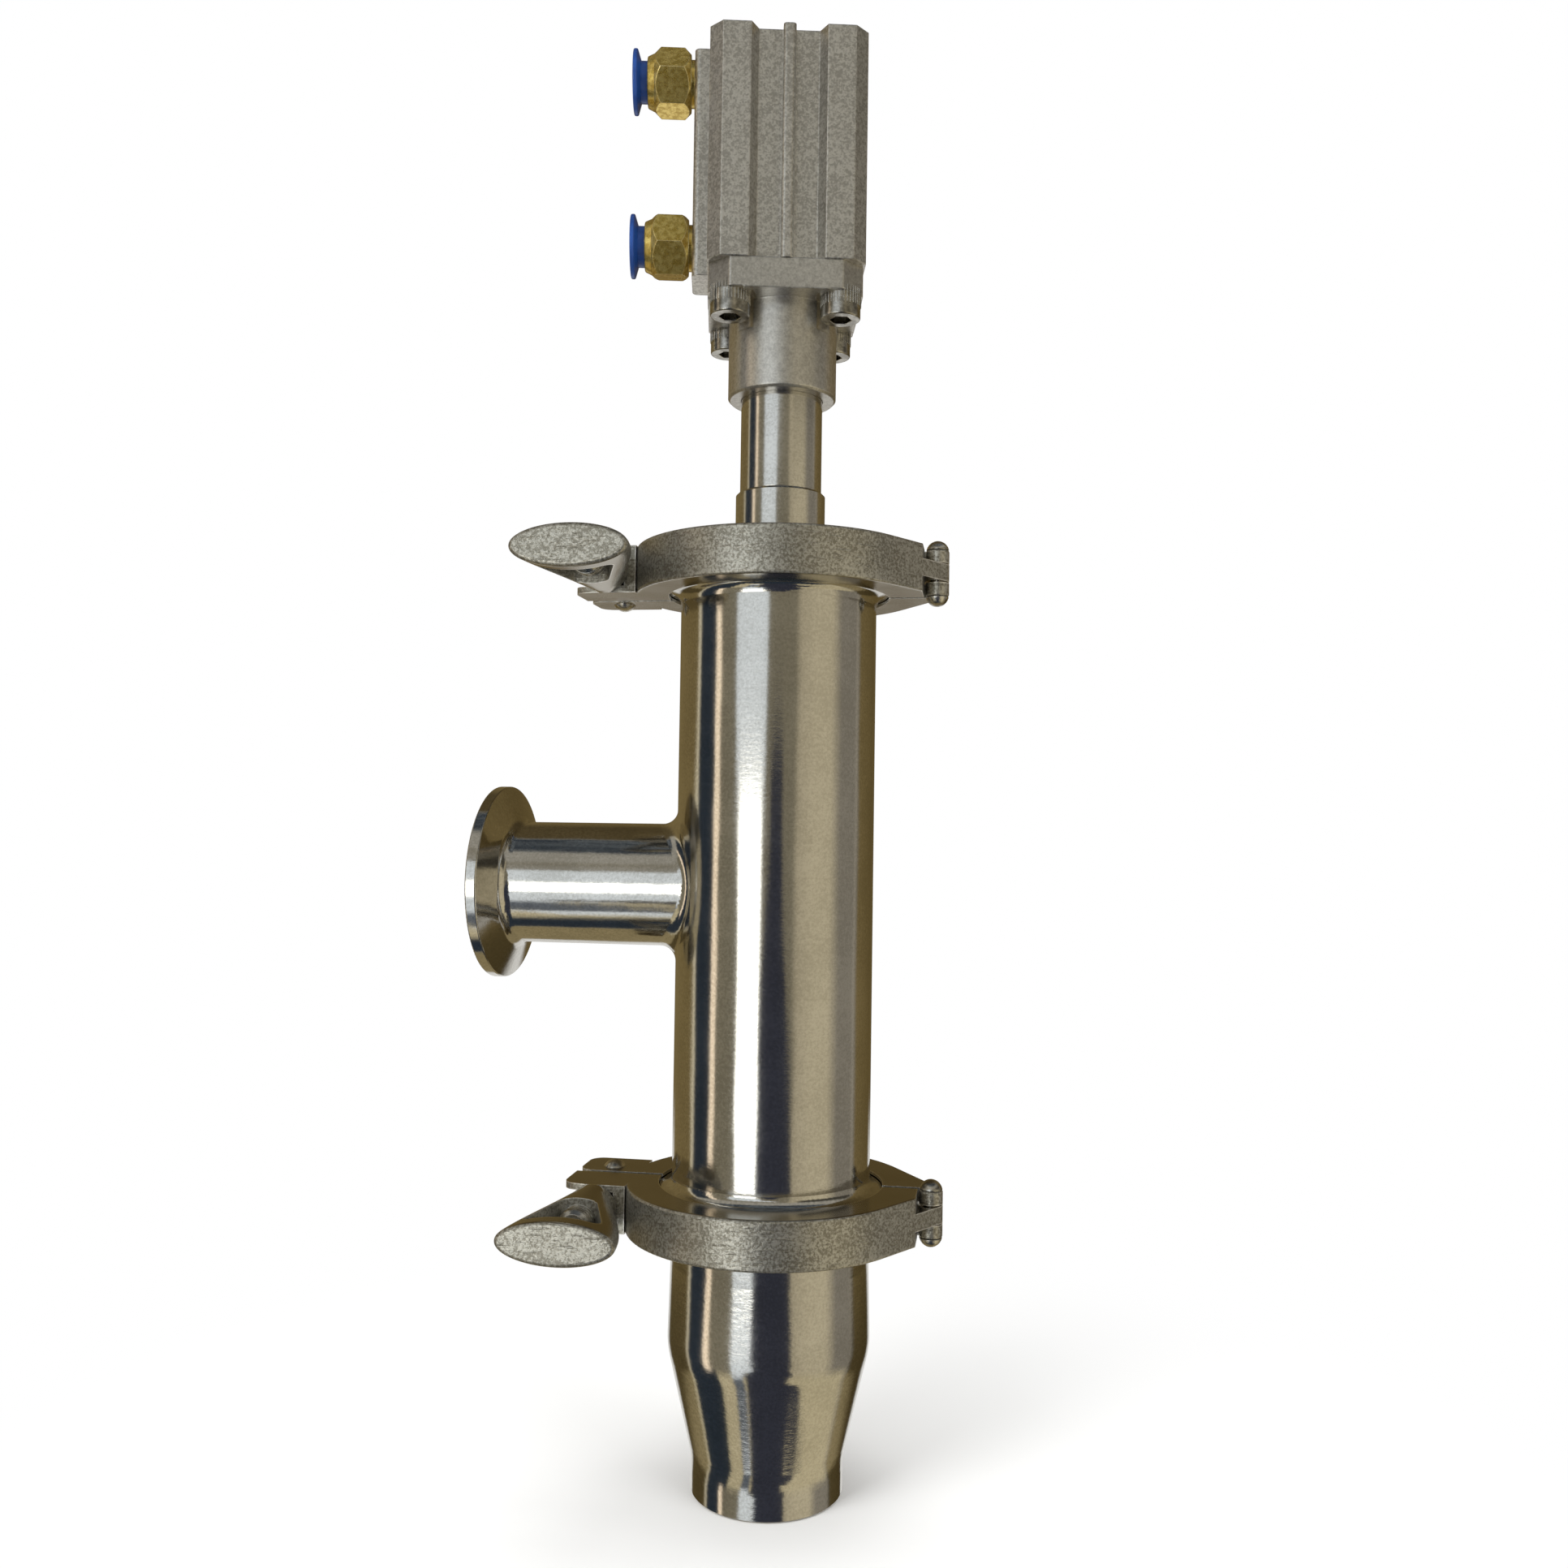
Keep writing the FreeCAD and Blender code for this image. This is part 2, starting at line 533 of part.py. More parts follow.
def make_body_tube():
    """The tee's run, with the collar for the branch drawn out of its side."""
    body = new_body("body_tube", inlet_axis)
    below = branch_height - ferrule_length
    above = tee_length - branch_height - ferrule_length
    run = sketch_on(body, "XY_Plane", -below)
    circle(run, tube_od / 2)
    pad(body, run, below + above)
    collar = sketch_on(body, "YZ_Plane")
    circle(collar, branch_od / 2)
    pad(body, collar, collar_face, backwards=True)

    def meets_tube(edge):
        return not isinstance(edge.Curve, (Part.Line, Part.Circle))

    dress(body, "Fillet", collar_round, meets_tube)
    bore = sketch_on(body, "XY_Plane", -below)
    circle(bore, tube_bore / 2)
    pocket(body, bore, below + above, backwards=True)
    side_hole = sketch_on(body, "YZ_Plane")
    circle(side_hole, branch_bore / 2)
    pocket(body, side_hole, collar_face)


def make_inlet_branch():
    body = new_body("inlet_branch", inlet_axis)
    section = sketch_on(body, "YZ_Plane", -collar_face)
    circle(section, branch_od / 2)
    circle(section, branch_bore / 2)
    pad(body, section, inlet_reach - ferrule_length - collar_face, backwards=True)


def make_inlet_ferrule():
    body = make_ferrule("inlet_ferrule", inlet_rim_od, branch_od)
    face_out = FreeCAD.Rotation(vector(0, 1, 0), 90)
    body.Placement = FreeCAD.Placement(vector(), face_out)
    bind(body, ".Placement.Base.x", -inlet_reach)
    bind(body, ".Placement.Base.z", inlet_axis)


def make_nozzle():
    """The tube drawn down to the tip in one smooth cone."""
    body = new_body("nozzle_reducer")
    top = nozzle_length - ferrule_length
    knee = tube_od / 2 + knee_swell
    outside = [(tip_od / 2, 0), (tip_od / 2, throat_height), (knee, knee_height), (tube_od / 2, top)]
    inside = [(radius - tube_wall, height) for radius, height in reversed(outside)]
    turned(body, outside + inside)
    bends = [(tip_od / 2, throat_height), (knee, knee_height)]
    inner_bends = [(radius - tube_wall, height) for radius, height in bends]
    dress(body, "Fillet", nozzle_round, ring_edge(*bends, *inner_bends))
    dress(body, "Fillet", edge_round, ring_edge((tip_bore / 2, 0)))


# The cap, its seal and bush, and the tube that carries the actuator

def make_cap():
    body = new_body("top_cap", cap_face)
    slope_end = rim_od / 2 - (cap_back - rim_thick) / tangent(flank_angle)
    stem_hole = stem_od / 2 + plug_gap
    seat = bush_od / 2 + seal_gap
    spigot_hole = housing_bore / 2 + spigot_wall
    shoulder = collar_height - spigot_length
    turned(body, [(stem_hole, 0), (rim_od / 2, 0), (rim_od / 2, rim_thick), (slope_end, cap_back),
                  (collar_od / 2, cap_back), (collar_od / 2, collar_height),
                  (spigot_hole, collar_height), (spigot_hole, shoulder), (seat, shoulder),
                  (seat, lip_thick), (stem_hole, lip_thick)])
    groove = sketch_on(body, "XZ_Plane")
    circle(groove, seal_groove_round, rim_od / 2 - seal_groove_in, -bead_play * 2)
    turn_sketch(body, groove, "PartDesign::Groove")
    dress(body, "Fillet", edge_round, ring_edge((rim_od / 2, 0), (rim_od / 2, rim_thick)))
    dress(body, "Chamfer", step_chamfer, ring_edge((collar_od / 2, collar_height)))


def make_ring(label, bottom, height, inner, outer):
    """A plain turned ring."""
    body = new_body(label, bottom)
    turned(body, [(inner, 0), (outer, 0), (outer, height), (inner, height)])
    return body


def make_housing_tube():
    body = new_body("housing_tube", collar_top)
    spigot = housing_bore / 2 + spigot_wall - seal_gap
    turned(body, [(housing_bore / 2, -spigot_length), (spigot, -spigot_length), (spigot, 0),
                  (housing_od / 2, 0), (housing_od / 2, housing_length),
                  (housing_bore / 2, housing_length)])
    dress(body, "Fillet", edge_round, ring_edge((housing_od / 2, 0)))


# The stem that opens and closes the tip

def make_plug():
    """The plug that closes the tip, with a groove for its seal ring and a tapped hub."""
    body = new_body("plug")
    outer = tip_bore / 2 - plug_gap
    hub = stem_od / 2 + plug_hub_wall
    hub_top = plug_shoulder + plug_hub
    stem_seat = stem_od / 2 + seal_gap
    thread = stem_screw_od / 2 + seal_gap
    turned(body, [(0, 0), (outer, 0), (outer, plug_height), (hub, plug_shoulder), (hub, hub_top),
                  (stem_seat, hub_top), (stem_seat, plug_shoulder), (thread, plug_shoulder),
                  (thread, plug_foot), (0, plug_foot)])
    groove = sketch_on(body, "XZ_Plane")
    middle = tip_bore / 2 - running_gap - plug_ring_thick / 2
    half = plug_ring_thick / 2 + seal_gap
    rectangle(groove, middle - half, tip_bore / 2, plug_ring_height - half, plug_ring_height + half)
    turn_sketch(body, groove, "PartDesign::Groove")
    dress(body, "Chamfer", plug_chamfer, ring_edge((outer, 0)))
    dress(body, "Fillet", plug_cone_round, ring_edge((hub, plug_shoulder)))


def make_round_ring(label, height, reach, thickness):
    """A seal ring of round section."""
    ring = doc.addObject("Part::Torus", label)
    ring.Label = label
    bind(ring, "Radius1", reach)
    bind(ring, "Radius2", thickness / 2)
    bind(ring, ".Placement.Base.z", height)


def make_stem():
    """The stem: threaded foot for the plug, tapped top end for the piston rod."""
    body = new_body("stem")
    tapped = rod_screw_od / 2 + seal_gap
    blind = stem_top - rod_screw_length - seal_gap
    foot = plug_foot + seal_gap
    turned(body, [(0, foot), (stem_screw_od / 2, foot), (stem_screw_od / 2, plug_shoulder),
                  (stem_od / 2, plug_shoulder), (stem_od / 2, stem_top), (tapped, stem_top),
                  (tapped, blind), (0, blind)])


def make_hex_nut(label, bottom, flats, height, hole):
    body = new_body(label, bottom)
    profile = sketch_on(body, "XY_Plane")
    hexagon(profile, flats)
    pad(body, profile, height)
    opening = sketch_on(body, "XY_Plane")
    circle(opening, hole / 2 + seal_gap)
    pocket(body, opening, height, backwards=True)


def make_rod():
    """The piston rod: thread below, rod through the cover, spigot through the piston."""
    body = new_body("piston_rod")
    foot = stem_top - rod_screw_length
    shoulder = stem_top + lock_nut_height
    turned(body, [(0, foot), (rod_screw_od / 2, foot), (rod_screw_od / 2, shoulder),
                  (rod_od / 2, shoulder), (rod_od / 2, piston_bottom),
                  (piston_screw_od / 2, piston_bottom), (piston_screw_od / 2, piston_top),
                  (0, piston_top)])


def make_piston():
    """The piston, with a seal groove at each end and the magnet's groove between."""
    body = new_body("piston", piston_bottom)
    spigot_hole = piston_screw_od / 2 + seal_gap
    nut_room = piston_nut_flats / math.sqrt(3) + 2 * seal_gap
    nut_seat = piston_height - piston_nut_height
    turned(body, [(spigot_hole, 0), (piston_outer, 0), (piston_outer, piston_height),
                  (nut_room, piston_height), (nut_room, nut_seat), (spigot_hole, nut_seat)])
    for floor, low, tall in ((piston_seal_floor, lower_groove_low, piston_seal_height),
                             (magnet_floor, magnet_low, magnet_height),
                             (piston_seal_floor, upper_groove_low, piston_seal_height)):
        groove = sketch_on(body, "XZ_Plane")
        rectangle(groove, floor, cylinder_bore / 2, low, low + tall)
        turn_sketch(body, groove, "PartDesign::Groove")


def make_piston_rings():
    """The two seals and the magnet that sit in the piston's grooves."""
    bore = cylinder_bore / 2 - running_gap
    for label, low in (("lower_piston_seal", lower_groove_low),
                       ("upper_piston_seal", upper_groove_low)):
        make_ring(label, piston_bottom + low, piston_seal_height, piston_seal_floor, bore)
    make_ring("magnet_ring", piston_bottom + magnet_low, magnet_height, magnet_floor, piston_outer)


# The adapter, its screws and the cylinder

def corner_cut_square(sketch, side, cut):
    half = side / 2
    near = half - cut
    outline(sketch, [(-near, -half), (near, -half), (half, -near), (half, near),
                     (near, half), (-near, half), (-half, near), (-half, -near)])


def screw_places(sketch, radius):
    for x in (-1, 1):
        for y in (-1, 1):
            circle(sketch, radius, x * screw_pitch / 2, y * screw_pitch / 2)


def make_adapter():
    """The square flange and round neck that hold the cylinder on the housing tube."""
    body = new_body("actuator_adapter", flange_bottom, actuator_turn)
    plate = sketch_on(body, "XY_Plane")
    corner_cut_square(plate, flange_side, flange_corner)
    pad(body, plate, flange_thick)
    dress(body, "Fillet", flange_round, upright_edge(flange_side.value / 2, flange_side.value))
    neck = sketch_on(body, "XY_Plane")
    circle(neck, neck_od / 2)
    pad(body, neck, neck_length, backwards=True)
    dress(body, "Chamfer", neck_chamfer, ring_edge((neck_od / 2, -neck_length)))
    passage = sketch_on(body, "XY_Plane", -neck_length)
    circle(passage, housing_bore / 2)
    pocket(body, passage, neck_length + flange_thick, backwards=True)
    seat = sketch_on(body, "XY_Plane", -neck_length)
    circle(seat, housing_od / 2 + seal_gap)
    pocket(body, seat, housing_top - neck_bottom, backwards=True)
    heads = sketch_on(body, "XY_Plane", spot_depth - screw_head_height - pocket_gap)
    screw_places(heads, screw_head_od / 2 + pocket_gap)
    pocket(body, heads, screw_head_height + pocket_gap, backwards=True)
    holes = sketch_on(body, "XY_Plane")
    screw_places(holes, screw_od / 2 + screw_gap)
    pocket(body, holes, flange_thick, backwards=True)


def make_flange_screws():
    """Four socket head screws, set in from below."""
    body = new_body("flange_screws", flange_bottom, actuator_turn)
    heads = sketch_on(body, "XY_Plane", spot_depth)
    screw_places(heads, screw_head_od / 2)
    pad(body, heads, screw_head_height, backwards=True)
    head_bottom = spot_depth - screw_head_height

    def lower_rim(edge):
        if not isinstance(edge.Curve, Part.Circle):
            return False
        return abs(edge.Curve.Center.z - head_bottom.value) < 0.01

    dress(body, "Fillet", edge_round, lower_rim)
    shanks = sketch_on(body, "XY_Plane")
    screw_places(shanks, screw_od / 2)
    pad(body, shanks, flange_thick + screw_grip)
    sockets = sketch_on(body, "XY_Plane", head_bottom)
    for x in (-1, 1):
        for y in (-1, 1):
            hexagon(sockets, screw_socket_flats, x * screw_pitch / 2, y * screw_pitch / 2)
    pocket(body, sockets, screw_socket_depth, backwards=True)


def make_cylinder():
    """The extruded cylinder body, with grooves on three sides and the port boss on the fourth."""
    body = new_body("cylinder_body", flange_top, actuator_turn)
    square = sketch_on(body, "XY_Plane")
    corner_cut_square(square, cylinder_side, cylinder_corner)
    pad(body, square, cylinder_length)
    half = cylinder_side / 2
    floor = half - groove_depth
    grooves = sketch_on(body, "XY_Plane")
    for side in (-1, 1):
        for face in (-1, 1):
            outline(grooves, [(side * rib_half, face * half), (side * rib_half, face * floor),
                              (side * groove_floor, face * floor),
                              (side * groove_mouth, face * half)])
        outline(grooves, [(half, side * rib_half), (floor, side * rib_half),
                          (floor, side * groove_floor), (half, side * groove_mouth)])
    pocket(body, grooves, cylinder_length, backwards=True)

    def on_rib(edge):
        return (upright_edge(half.value - 0.1, half.value + 0.2)(edge)
                and min(abs(edge.Vertexes[0].X), abs(edge.Vertexes[0].Y)) < rib_half.value + 0.1)

    dress(body, "Fillet", rib_round, on_rib)
    boss = sketch_on(body, "XY_Plane")
    rectangle(boss, -boss_face, 0, -boss_half, boss_half)
    pad(body, boss, cylinder_length)
    corner = math.hypot(boss_face.value, boss_half.value)
    dress(body, "Fillet", boss_round, upright_edge(corner - 0.01, corner + 0.01))
    bore = sketch_on(body, "XY_Plane")
    circle(bore, cylinder_bore / 2)
    pocket(body, bore, cylinder_length - head_thick, backwards=True)
    ring_groove = sketch_on(body, "XZ_Plane")
    rectangle(ring_groove, cylinder_bore / 2 - snap_ring_bite, cylinder_bore / 2 + snap_ring_bite,
              snap_ring_rise, snap_ring_rise + snap_ring_thick + seal_gap)
    turn_sketch(body, ring_groove, "PartDesign::Groove")
    ports = sketch_on(body, "YZ_Plane", -boss_face)
    circle(ports, port_od / 2, 0, lower_port_rise)
    circle(ports, port_od / 2, 0, cylinder_length - upper_port_drop)
    pocket(body, ports, port_depth, backwards=True)
    air = sketch_on(body, "YZ_Plane", -boss_face)
    circle(air, air_hole / 2, 0, lower_port_rise + port_od / 4)
    circle(air, air_hole / 2, 0, cylinder_length - head_thick - air_hole / 2 - 2 * seal_gap)
    pocket(body, air, boss_face - cylinder_bore / 2 + air_hole / 2, backwards=True)
    screw_holes = sketch_on(body, "XY_Plane")
    screw_places(screw_holes, screw_od / 2 + screw_gap)
    pocket(body, screw_holes, screw_grip + screw_gap, backwards=True)
    top_holes = sketch_on(body, "XY_Plane", cylinder_length)
    screw_places(top_holes, top_hole_od / 2)
    pocket(body, top_holes, top_hole_depth)


def make_snap_ring():
    """The open spring ring that holds the rod cover in the bore."""
    body = new_body("snap_ring", flange_top + snap_ring_rise, actuator_turn)
    outer = cylinder_bore / 2 + snap_ring_bite - seal_gap
    turned(body, [(outer - snap_ring_width, 0), (outer, 0), (outer, snap_ring_thick),
                  (outer - snap_ring_width, snap_ring_thick)])
    opening = sketch_on(body, "XY_Plane")
    rectangle(opening, 0, 2 * outer, -snap_ring_mouth / 2, snap_ring_mouth / 2)
    pocket(body, opening, snap_ring_thick, backwards=True)


def make_rod_cover():
    """The cover that guides the piston rod, with an inner groove for the rod seal."""
    body = new_body("rod_cover", cover_bottom)
    outer = cylinder_bore / 2 - running_gap
    guide = rod_od / 2 + running_gap
    seat = cover_seal_od / 2
    seat_low = cover_height - cover_seal_rise
    seat_top = seat_low + cover_seal_height
    turned(body, [(guide, 0), (outer, 0), (outer, cover_height), (guide, cover_height),
                  (guide, seat_top), (seat, seat_top), (seat, seat_low), (guide, seat_low)])


# Push-in fittings for the two air tubes

def fitting_frame(body, height):
    """Puts a fitting on its port: the body's Z axis points out along the port."""
    lie_down = FreeCAD.Rotation(vector(0, 1, 0), -90)
    turn = FreeCAD.Rotation(vector(0, 0, 1), actuator_turn.value)
    body.Placement = FreeCAD.Placement(vector(), turn.multiply(lie_down))
    turn_formula = actuator_turn.formula
    body.setExpression(".Placement.Base.x", f"0 - {boss_face.formula} * cos({turn_formula})")
    body.setExpression(".Placement.Base.y", f"0 - {boss_face.formula} * sin({turn_formula})")
    bind(body, ".Placement.Base.z", height)


def make_fitting_body(name, height, turn):
    """The brass body: thread, neck, rounded hexagon, nose and the tube's stepped bore."""
    body = new_body(f"{name}_fitting_body")
    hex_start = fitting_neck_length
    slope = fitting_end_slope
    profile = sketch_on(body, "XY_Plane", hex_start)
    hexagon(profile, fitting_flats, turn=turn.value)
    pad(body, profile, fitting_hex_length)
    trim = sketch_on(body, "XZ_Plane")
    end_radius = fitting_end_od / 2
    corner = fitting_flats / math.sqrt(3)
    for face, inward in ((hex_start, slope), (fitting_hex_end, -slope)):
        outline(trim, [(end_radius, face), (corner + slope, face),
                       (corner + slope, face + inward), (corner, face + inward)])
    turn_sketch(body, trim, "PartDesign::Groove")
    thread = port_od / 2 - running_gap
    thread_low = running_gap - port_depth
    turned(body, [(0, thread_low), (thread, thread_low), (thread, 0), (fitting_neck_od / 2, 0),
                  (fitting_neck_od / 2, hex_start + slope), (0, hex_start + slope)])
    nose_low = fitting_hex_end - slope
    turned(body, [(0, nose_low), (end_radius, nose_low), (end_radius, fitting_hex_end),
                  (fitting_nose_od / 2, fitting_nose), (0, fitting_nose)])
    mouth = fitting_nose + fitting_nose_length
    turned(body, [(0, -port_depth), (fitting_bore / 2, -port_depth),
                  (fitting_bore / 2, tube_socket_floor), (tube_socket_od / 2, tube_socket_floor),
                  (tube_socket_od / 2, tube_seal_low), (sleeve_bore / 2, tube_seal_low),
                  (sleeve_bore / 2, mouth), (0, mouth)], "PartDesign::Groove")
    dress(body, "Fillet", edge_round, ring_edge((fitting_nose_od / 2, fitting_nose)))
    fitting_frame(body, height)


def make_fitting_rings(name, height):
    """The seal that grips the air tube and the toothed ring that holds it."""
    for label, low, thick in (("tube_seal", tube_seal_low, tube_seal_thick),
                              ("grab_ring", grab_ring_low, grab_ring_thick)):
        ring = new_body(f"{name}_{label}")
        turned(ring, [(release_bore / 2, low), (sleeve_bore / 2, low),
                      (sleeve_bore / 2, low + thick), (release_bore / 2, low + thick)])
        fitting_frame(ring, height)


def make_release_collar(name, height):
    """The collar with a dished thumb disc that lets go of the air tube."""
    body = new_body(f"{name}_release_collar")
    sleeve = release_sleeve_od / 2 - release_gap / 2
    sleeve_low = fitting_nose - release_depth
    disc_low = release_disc_low + release_dish
    disc_top = disc_low + release_disc_thick
    hub_top = release_disc_low + release_disc_thick
    turned(body, [(release_bore / 2, sleeve_low), (sleeve, sleeve_low), (sleeve, release_disc_low),
                  (release_disc_od / 2, disc_low), (release_disc_od / 2, disc_top),
                  (sleeve, hub_top), (release_bore / 2, hub_top)])
    rim = release_disc_od / 2
    dress(body, "Fillet", edge_round, ring_edge((rim, disc_low), (rim, disc_top)))
    fitting_frame(body, height)


# Hinged clamps

def clamp_groove(body):
    """Cuts the V groove that grips the two ferrules' backs."""
    rim = rim_thick + gasket_thick / 2 + clamp_flank_gap
    floor = rim_od / 2 + clamp_floor_gap
    mouth = clamp_mouth / 2
    slope = tangent(flank_angle)
    mouth_height = rim + (rim_od / 2 - mouth) * slope
    floor_height = rim - clamp_floor_gap * slope
    sketch = sketch_on(body, "XZ_Plane")
    outline(sketch, [(0, -mouth_height), (mouth, -mouth_height), (floor, -floor_height),
                     (floor, floor_height), (mouth, mouth_height), (0, mouth_height)])
    turn_sketch(body, sketch, "PartDesign::Groove")
    opening = sketch_on(body, "XY_Plane")
    circle(opening, mouth)
    pocket(body, opening, 2 * clamp_height, both_ways=True)


def half_ring(body):
    """The ring of one half, on the -Y side, with an ear that runs out to the hinge."""
    ring = clamp_od / 2
    boss = hinge_boss_od / 2
    edge = -clamp_split / 2
    ring_end = root(ring * ring - edge * edge)
    boss_end = root(boss * boss - edge * edge)
    lean = (ring - boss) / hinge_reach
    rise = root(1 - lean * lean)
    sketch = sketch_on(body, "XY_Plane")
    outline(sketch, [(-ring_end, edge, ring), (0, -ring, ring), (ring * lean, -ring * rise),
                     (hinge_reach + boss * lean, -boss * rise, boss), (hinge_reach, boss, boss),
                     (hinge_reach - boss_end, edge)])
    pad(body, sketch, clamp_height, both_ways=True)

    def outer_rim(edge):
        box = edge.BoundBox
        return abs(abs(box.ZMin + box.ZMax) - clamp_height.value) < 0.01 < box.YLength

    dress(body, "Fillet", clamp_round, outer_rim)


def beside_hinge(body, lift=None):
    """The room around the hinge knuckles, out from the end of the ear."""
    sketch = sketch_on(body, "XY_Plane", lift)
    room = hinge_boss_od / 2 + knuckle_gap
    rectangle(sketch, hinge_reach - room, hinge_reach + room, -clamp_od / 2, clamp_od / 2)
    return sketch


def pin_hole(body, pin, x, y):
    hole = sketch_on(body, "XY_Plane")
    circle(hole, pin / 2 + running_gap, x, y)
    pocket(body, hole, 2 * clamp_height, both_ways=True)


def outer_corners(near, far):
    """Chooses a lug's upright edges on the side away from the valve."""
    limit = -(bolt_reach.value + lug_half.value) + 0.01

    def chosen(edge):
        if not upright_edge(0, clamp_od.value)(edge):
            return False
        place = edge.Vertexes[0]
        return place.X < limit and near < abs(place.Y) < far
    return chosen


def make_clamp_front(name, height):
    """Front half: ring, middle knuckle, and the slotted lug that the nut bears on."""
    body = new_body(f"{name}_clamp_front", height)
    half_ring(body)
    inner = lug_half - bolt_reach
    outer = -lug_half - bolt_reach
    seat_square = (front_lug_reach + pivot_reach) * (front_lug_reach + pivot_reach)
    swing = root(seat_square + seat_flat * seat_flat)
    outer_seat = pivot_reach - root(swing * swing - lug_half * lug_half)
    lug = sketch_on(body, "XY_Plane")
    outline(lug, [(inner, -clamp_split / 2), (outer, -clamp_split / 2), (outer, outer_seat, swing),
                  (-bolt_reach - seat_flat, -front_lug_reach), (inner, -front_lug_reach)])
    pad(body, lug, clamp_height, both_ways=True)
    dress(body, "Fillet", lug_round, outer_corners(clamp_split.value, rear_lug_reach.value))
    clamp_groove(body)
    for upside_down in (False, True):
        above = beside_hinge(body, -tongue_height / 2 if upside_down else tongue_height / 2)
        pocket(body, above, clamp_height, backwards=not upside_down)
    slot = sketch_on(body, "XY_Plane")
    rectangle(slot, outer - lug_half, inner - slot_wall, -front_lug_reach - lug_half, 0)
    pocket(body, slot, lug_slot, both_ways=True)
    pin_hole(body, hinge_pin_od, hinge_reach, 0)


def make_clamp_rear(name, height):
    """Rear half: ring, two outer knuckles, and the forked lug that carries the bolt's pivot.
    It is drawn on the -Y side like the front half, and turned over."""
    body = new_body(f"{name}_clamp_rear", height, upside_down=True)
    half_ring(body)
    inner = lug_half - bolt_reach
    outer = -lug_half - bolt_reach
    lug = sketch_on(body, "XY_Plane")
    rectangle(lug, outer, inner, -rear_lug_reach, -clamp_split / 2)
    pad(body, lug, clamp_height, both_ways=True)
    dress(body, "Fillet", lug_round, outer_corners(0, 2 * rear_lug_reach.value))
    clamp_groove(body)
    fork = sketch_on(body, "XY_Plane")
    eye_room = eye_od / 2 + knuckle_gap
    rectangle(fork, outer - lug_half, -bolt_reach + eye_room, -pivot_reach - eye_room, 0)
    pocket(body, fork, lug_slot, both_ways=True)
    pocket(body, beside_hinge(body), tongue_height + 2 * knuckle_gap, both_ways=True)
    pin_hole(body, hinge_pin_od, hinge_reach, 0)
    pin_hole(body, pivot_pin_od, -bolt_reach, -pivot_reach)


def make_clamp_pin(label, height, across, head_height, x, y):
    """A pin with a domed head at each end."""
    body = new_body(label, height)
    half = clamp_height / 2
    head = pin_head_od / 2
    dome = (head * head + head_height * head_height) / (2 * head_height)
    top = half + head_height
    turned(body, [(0, -top, dome), (head, -half), (across / 2, -half), (across / 2, half),
                  (head, half, dome), (0, top)])
    bind(body, ".Placement.Base.x", x)
    bind(body, ".Placement.Base.y", y)


def make_eye_bolt(name, height):
    """The bolt that swings about the pivot pin and carries the nut."""
    body = new_body(f"{name}_eye_bolt", height)
    shank = sketch_on(body, "XZ_Plane")
    circle(shank, bolt_od / 2)
    pad(body, shank, bolt_length)

    def at_end(edge):
        return isinstance(edge.Curve, Part.Circle) and edge.BoundBox.YMax < -bolt_length.value / 2

    dress(body, "Chamfer", bolt_chamfer, at_end)
    eye = sketch_on(body, "XY_Plane")
    circle(eye, eye_od / 2)
    pad(body, eye, lug_slot - 2 * knuckle_gap, both_ways=True)
    pin_hole(body, pivot_pin_od, 0, 0)
    bind(body, ".Placement.Base.x", -bolt_reach)
    bind(body, ".Placement.Base.y", pivot_reach)


def oval(width, height, distance):
    """A closed wire across the nut's axis."""
    if width == height:
        edge = Part.Circle(vector(0, 0, distance), vector(0, 0, 1), width / 2).toShape()
    else:
        edge = Part.Ellipse(vector(0, 0, distance), width / 2, height / 2).toShape()
    return Part.Wire([edge])


def nut_window(near, far):
    """The block that opens the loop, from narrow at the thread to broad at the pad."""
    depth = nut_hub_od.value
    narrow = bolt_od.value / 2 + window_gap.value
    broad = nut_pad_width.value / 2 - nut_wall.value
    corners = [vector(-narrow, -depth, near), vector(narrow, -depth, near),
               vector(broad, -depth, far), vector(-broad, -depth, far), vector(-narrow, -depth, near)]
    block = Part.Face(Part.makePolygon(corners)).extrude(vector(0, 2 * depth, 0))
    across = [edge for edge in block.Edges if edge.BoundBox.YLength > depth]
    return block.makeFillet(window_round.value, across)


def make_loop_nut(name, height):
    """The cast nut: a round hub that flares into a loop with a flat thumb pad."""
    hub = nut_hub_od.value
    straight = nut_hub_length.value
    length = nut_length.value
    wide = nut_pad_width.value
    tall = nut_pad_height.value
    waist = oval(nut_waist_width.value, nut_waist_height.value, nut_waist_reach.value)
    shoulder = oval(wide - 2 * nut_shoulder_inset.value, tall, length - nut_shoulder_drop.value)
    flare = Part.makeLoft([oval(hub, hub, straight), waist, shoulder, oval(wide, tall, length)],
                          True, False)
    blank = Part.makeCylinder(hub / 2, straight).fuse(flare).removeSplitter()
    rim = [edge for edge in blank.Edges if abs(edge.BoundBox.ZMin - length) < 0.01]
    blank = blank.makeFillet(nut_pad_round.value, rim)
    thread_end = nut_thread_length.value
    window = nut_window(thread_end, length - nut_pad_thick.value)
    thread = Part.makeCylinder(bolt_od.value / 2 + running_gap.value, thread_end + window_round.value)
    seat = front_lug_reach + nut_gap
    nut = doc.addObject("Part::Feature", f"{name}_loop_nut")
    nut.Label = f"{name}_loop_nut"
    nut.Shape = blank.cut(window).cut(thread).removeSplitter()
    towards_front = FreeCAD.Rotation(vector(1, 0, 0), 90)
    nut.Placement = FreeCAD.Placement(vector(-bolt_reach.value, -seat.value, height.value), towards_front)


# The whole valve

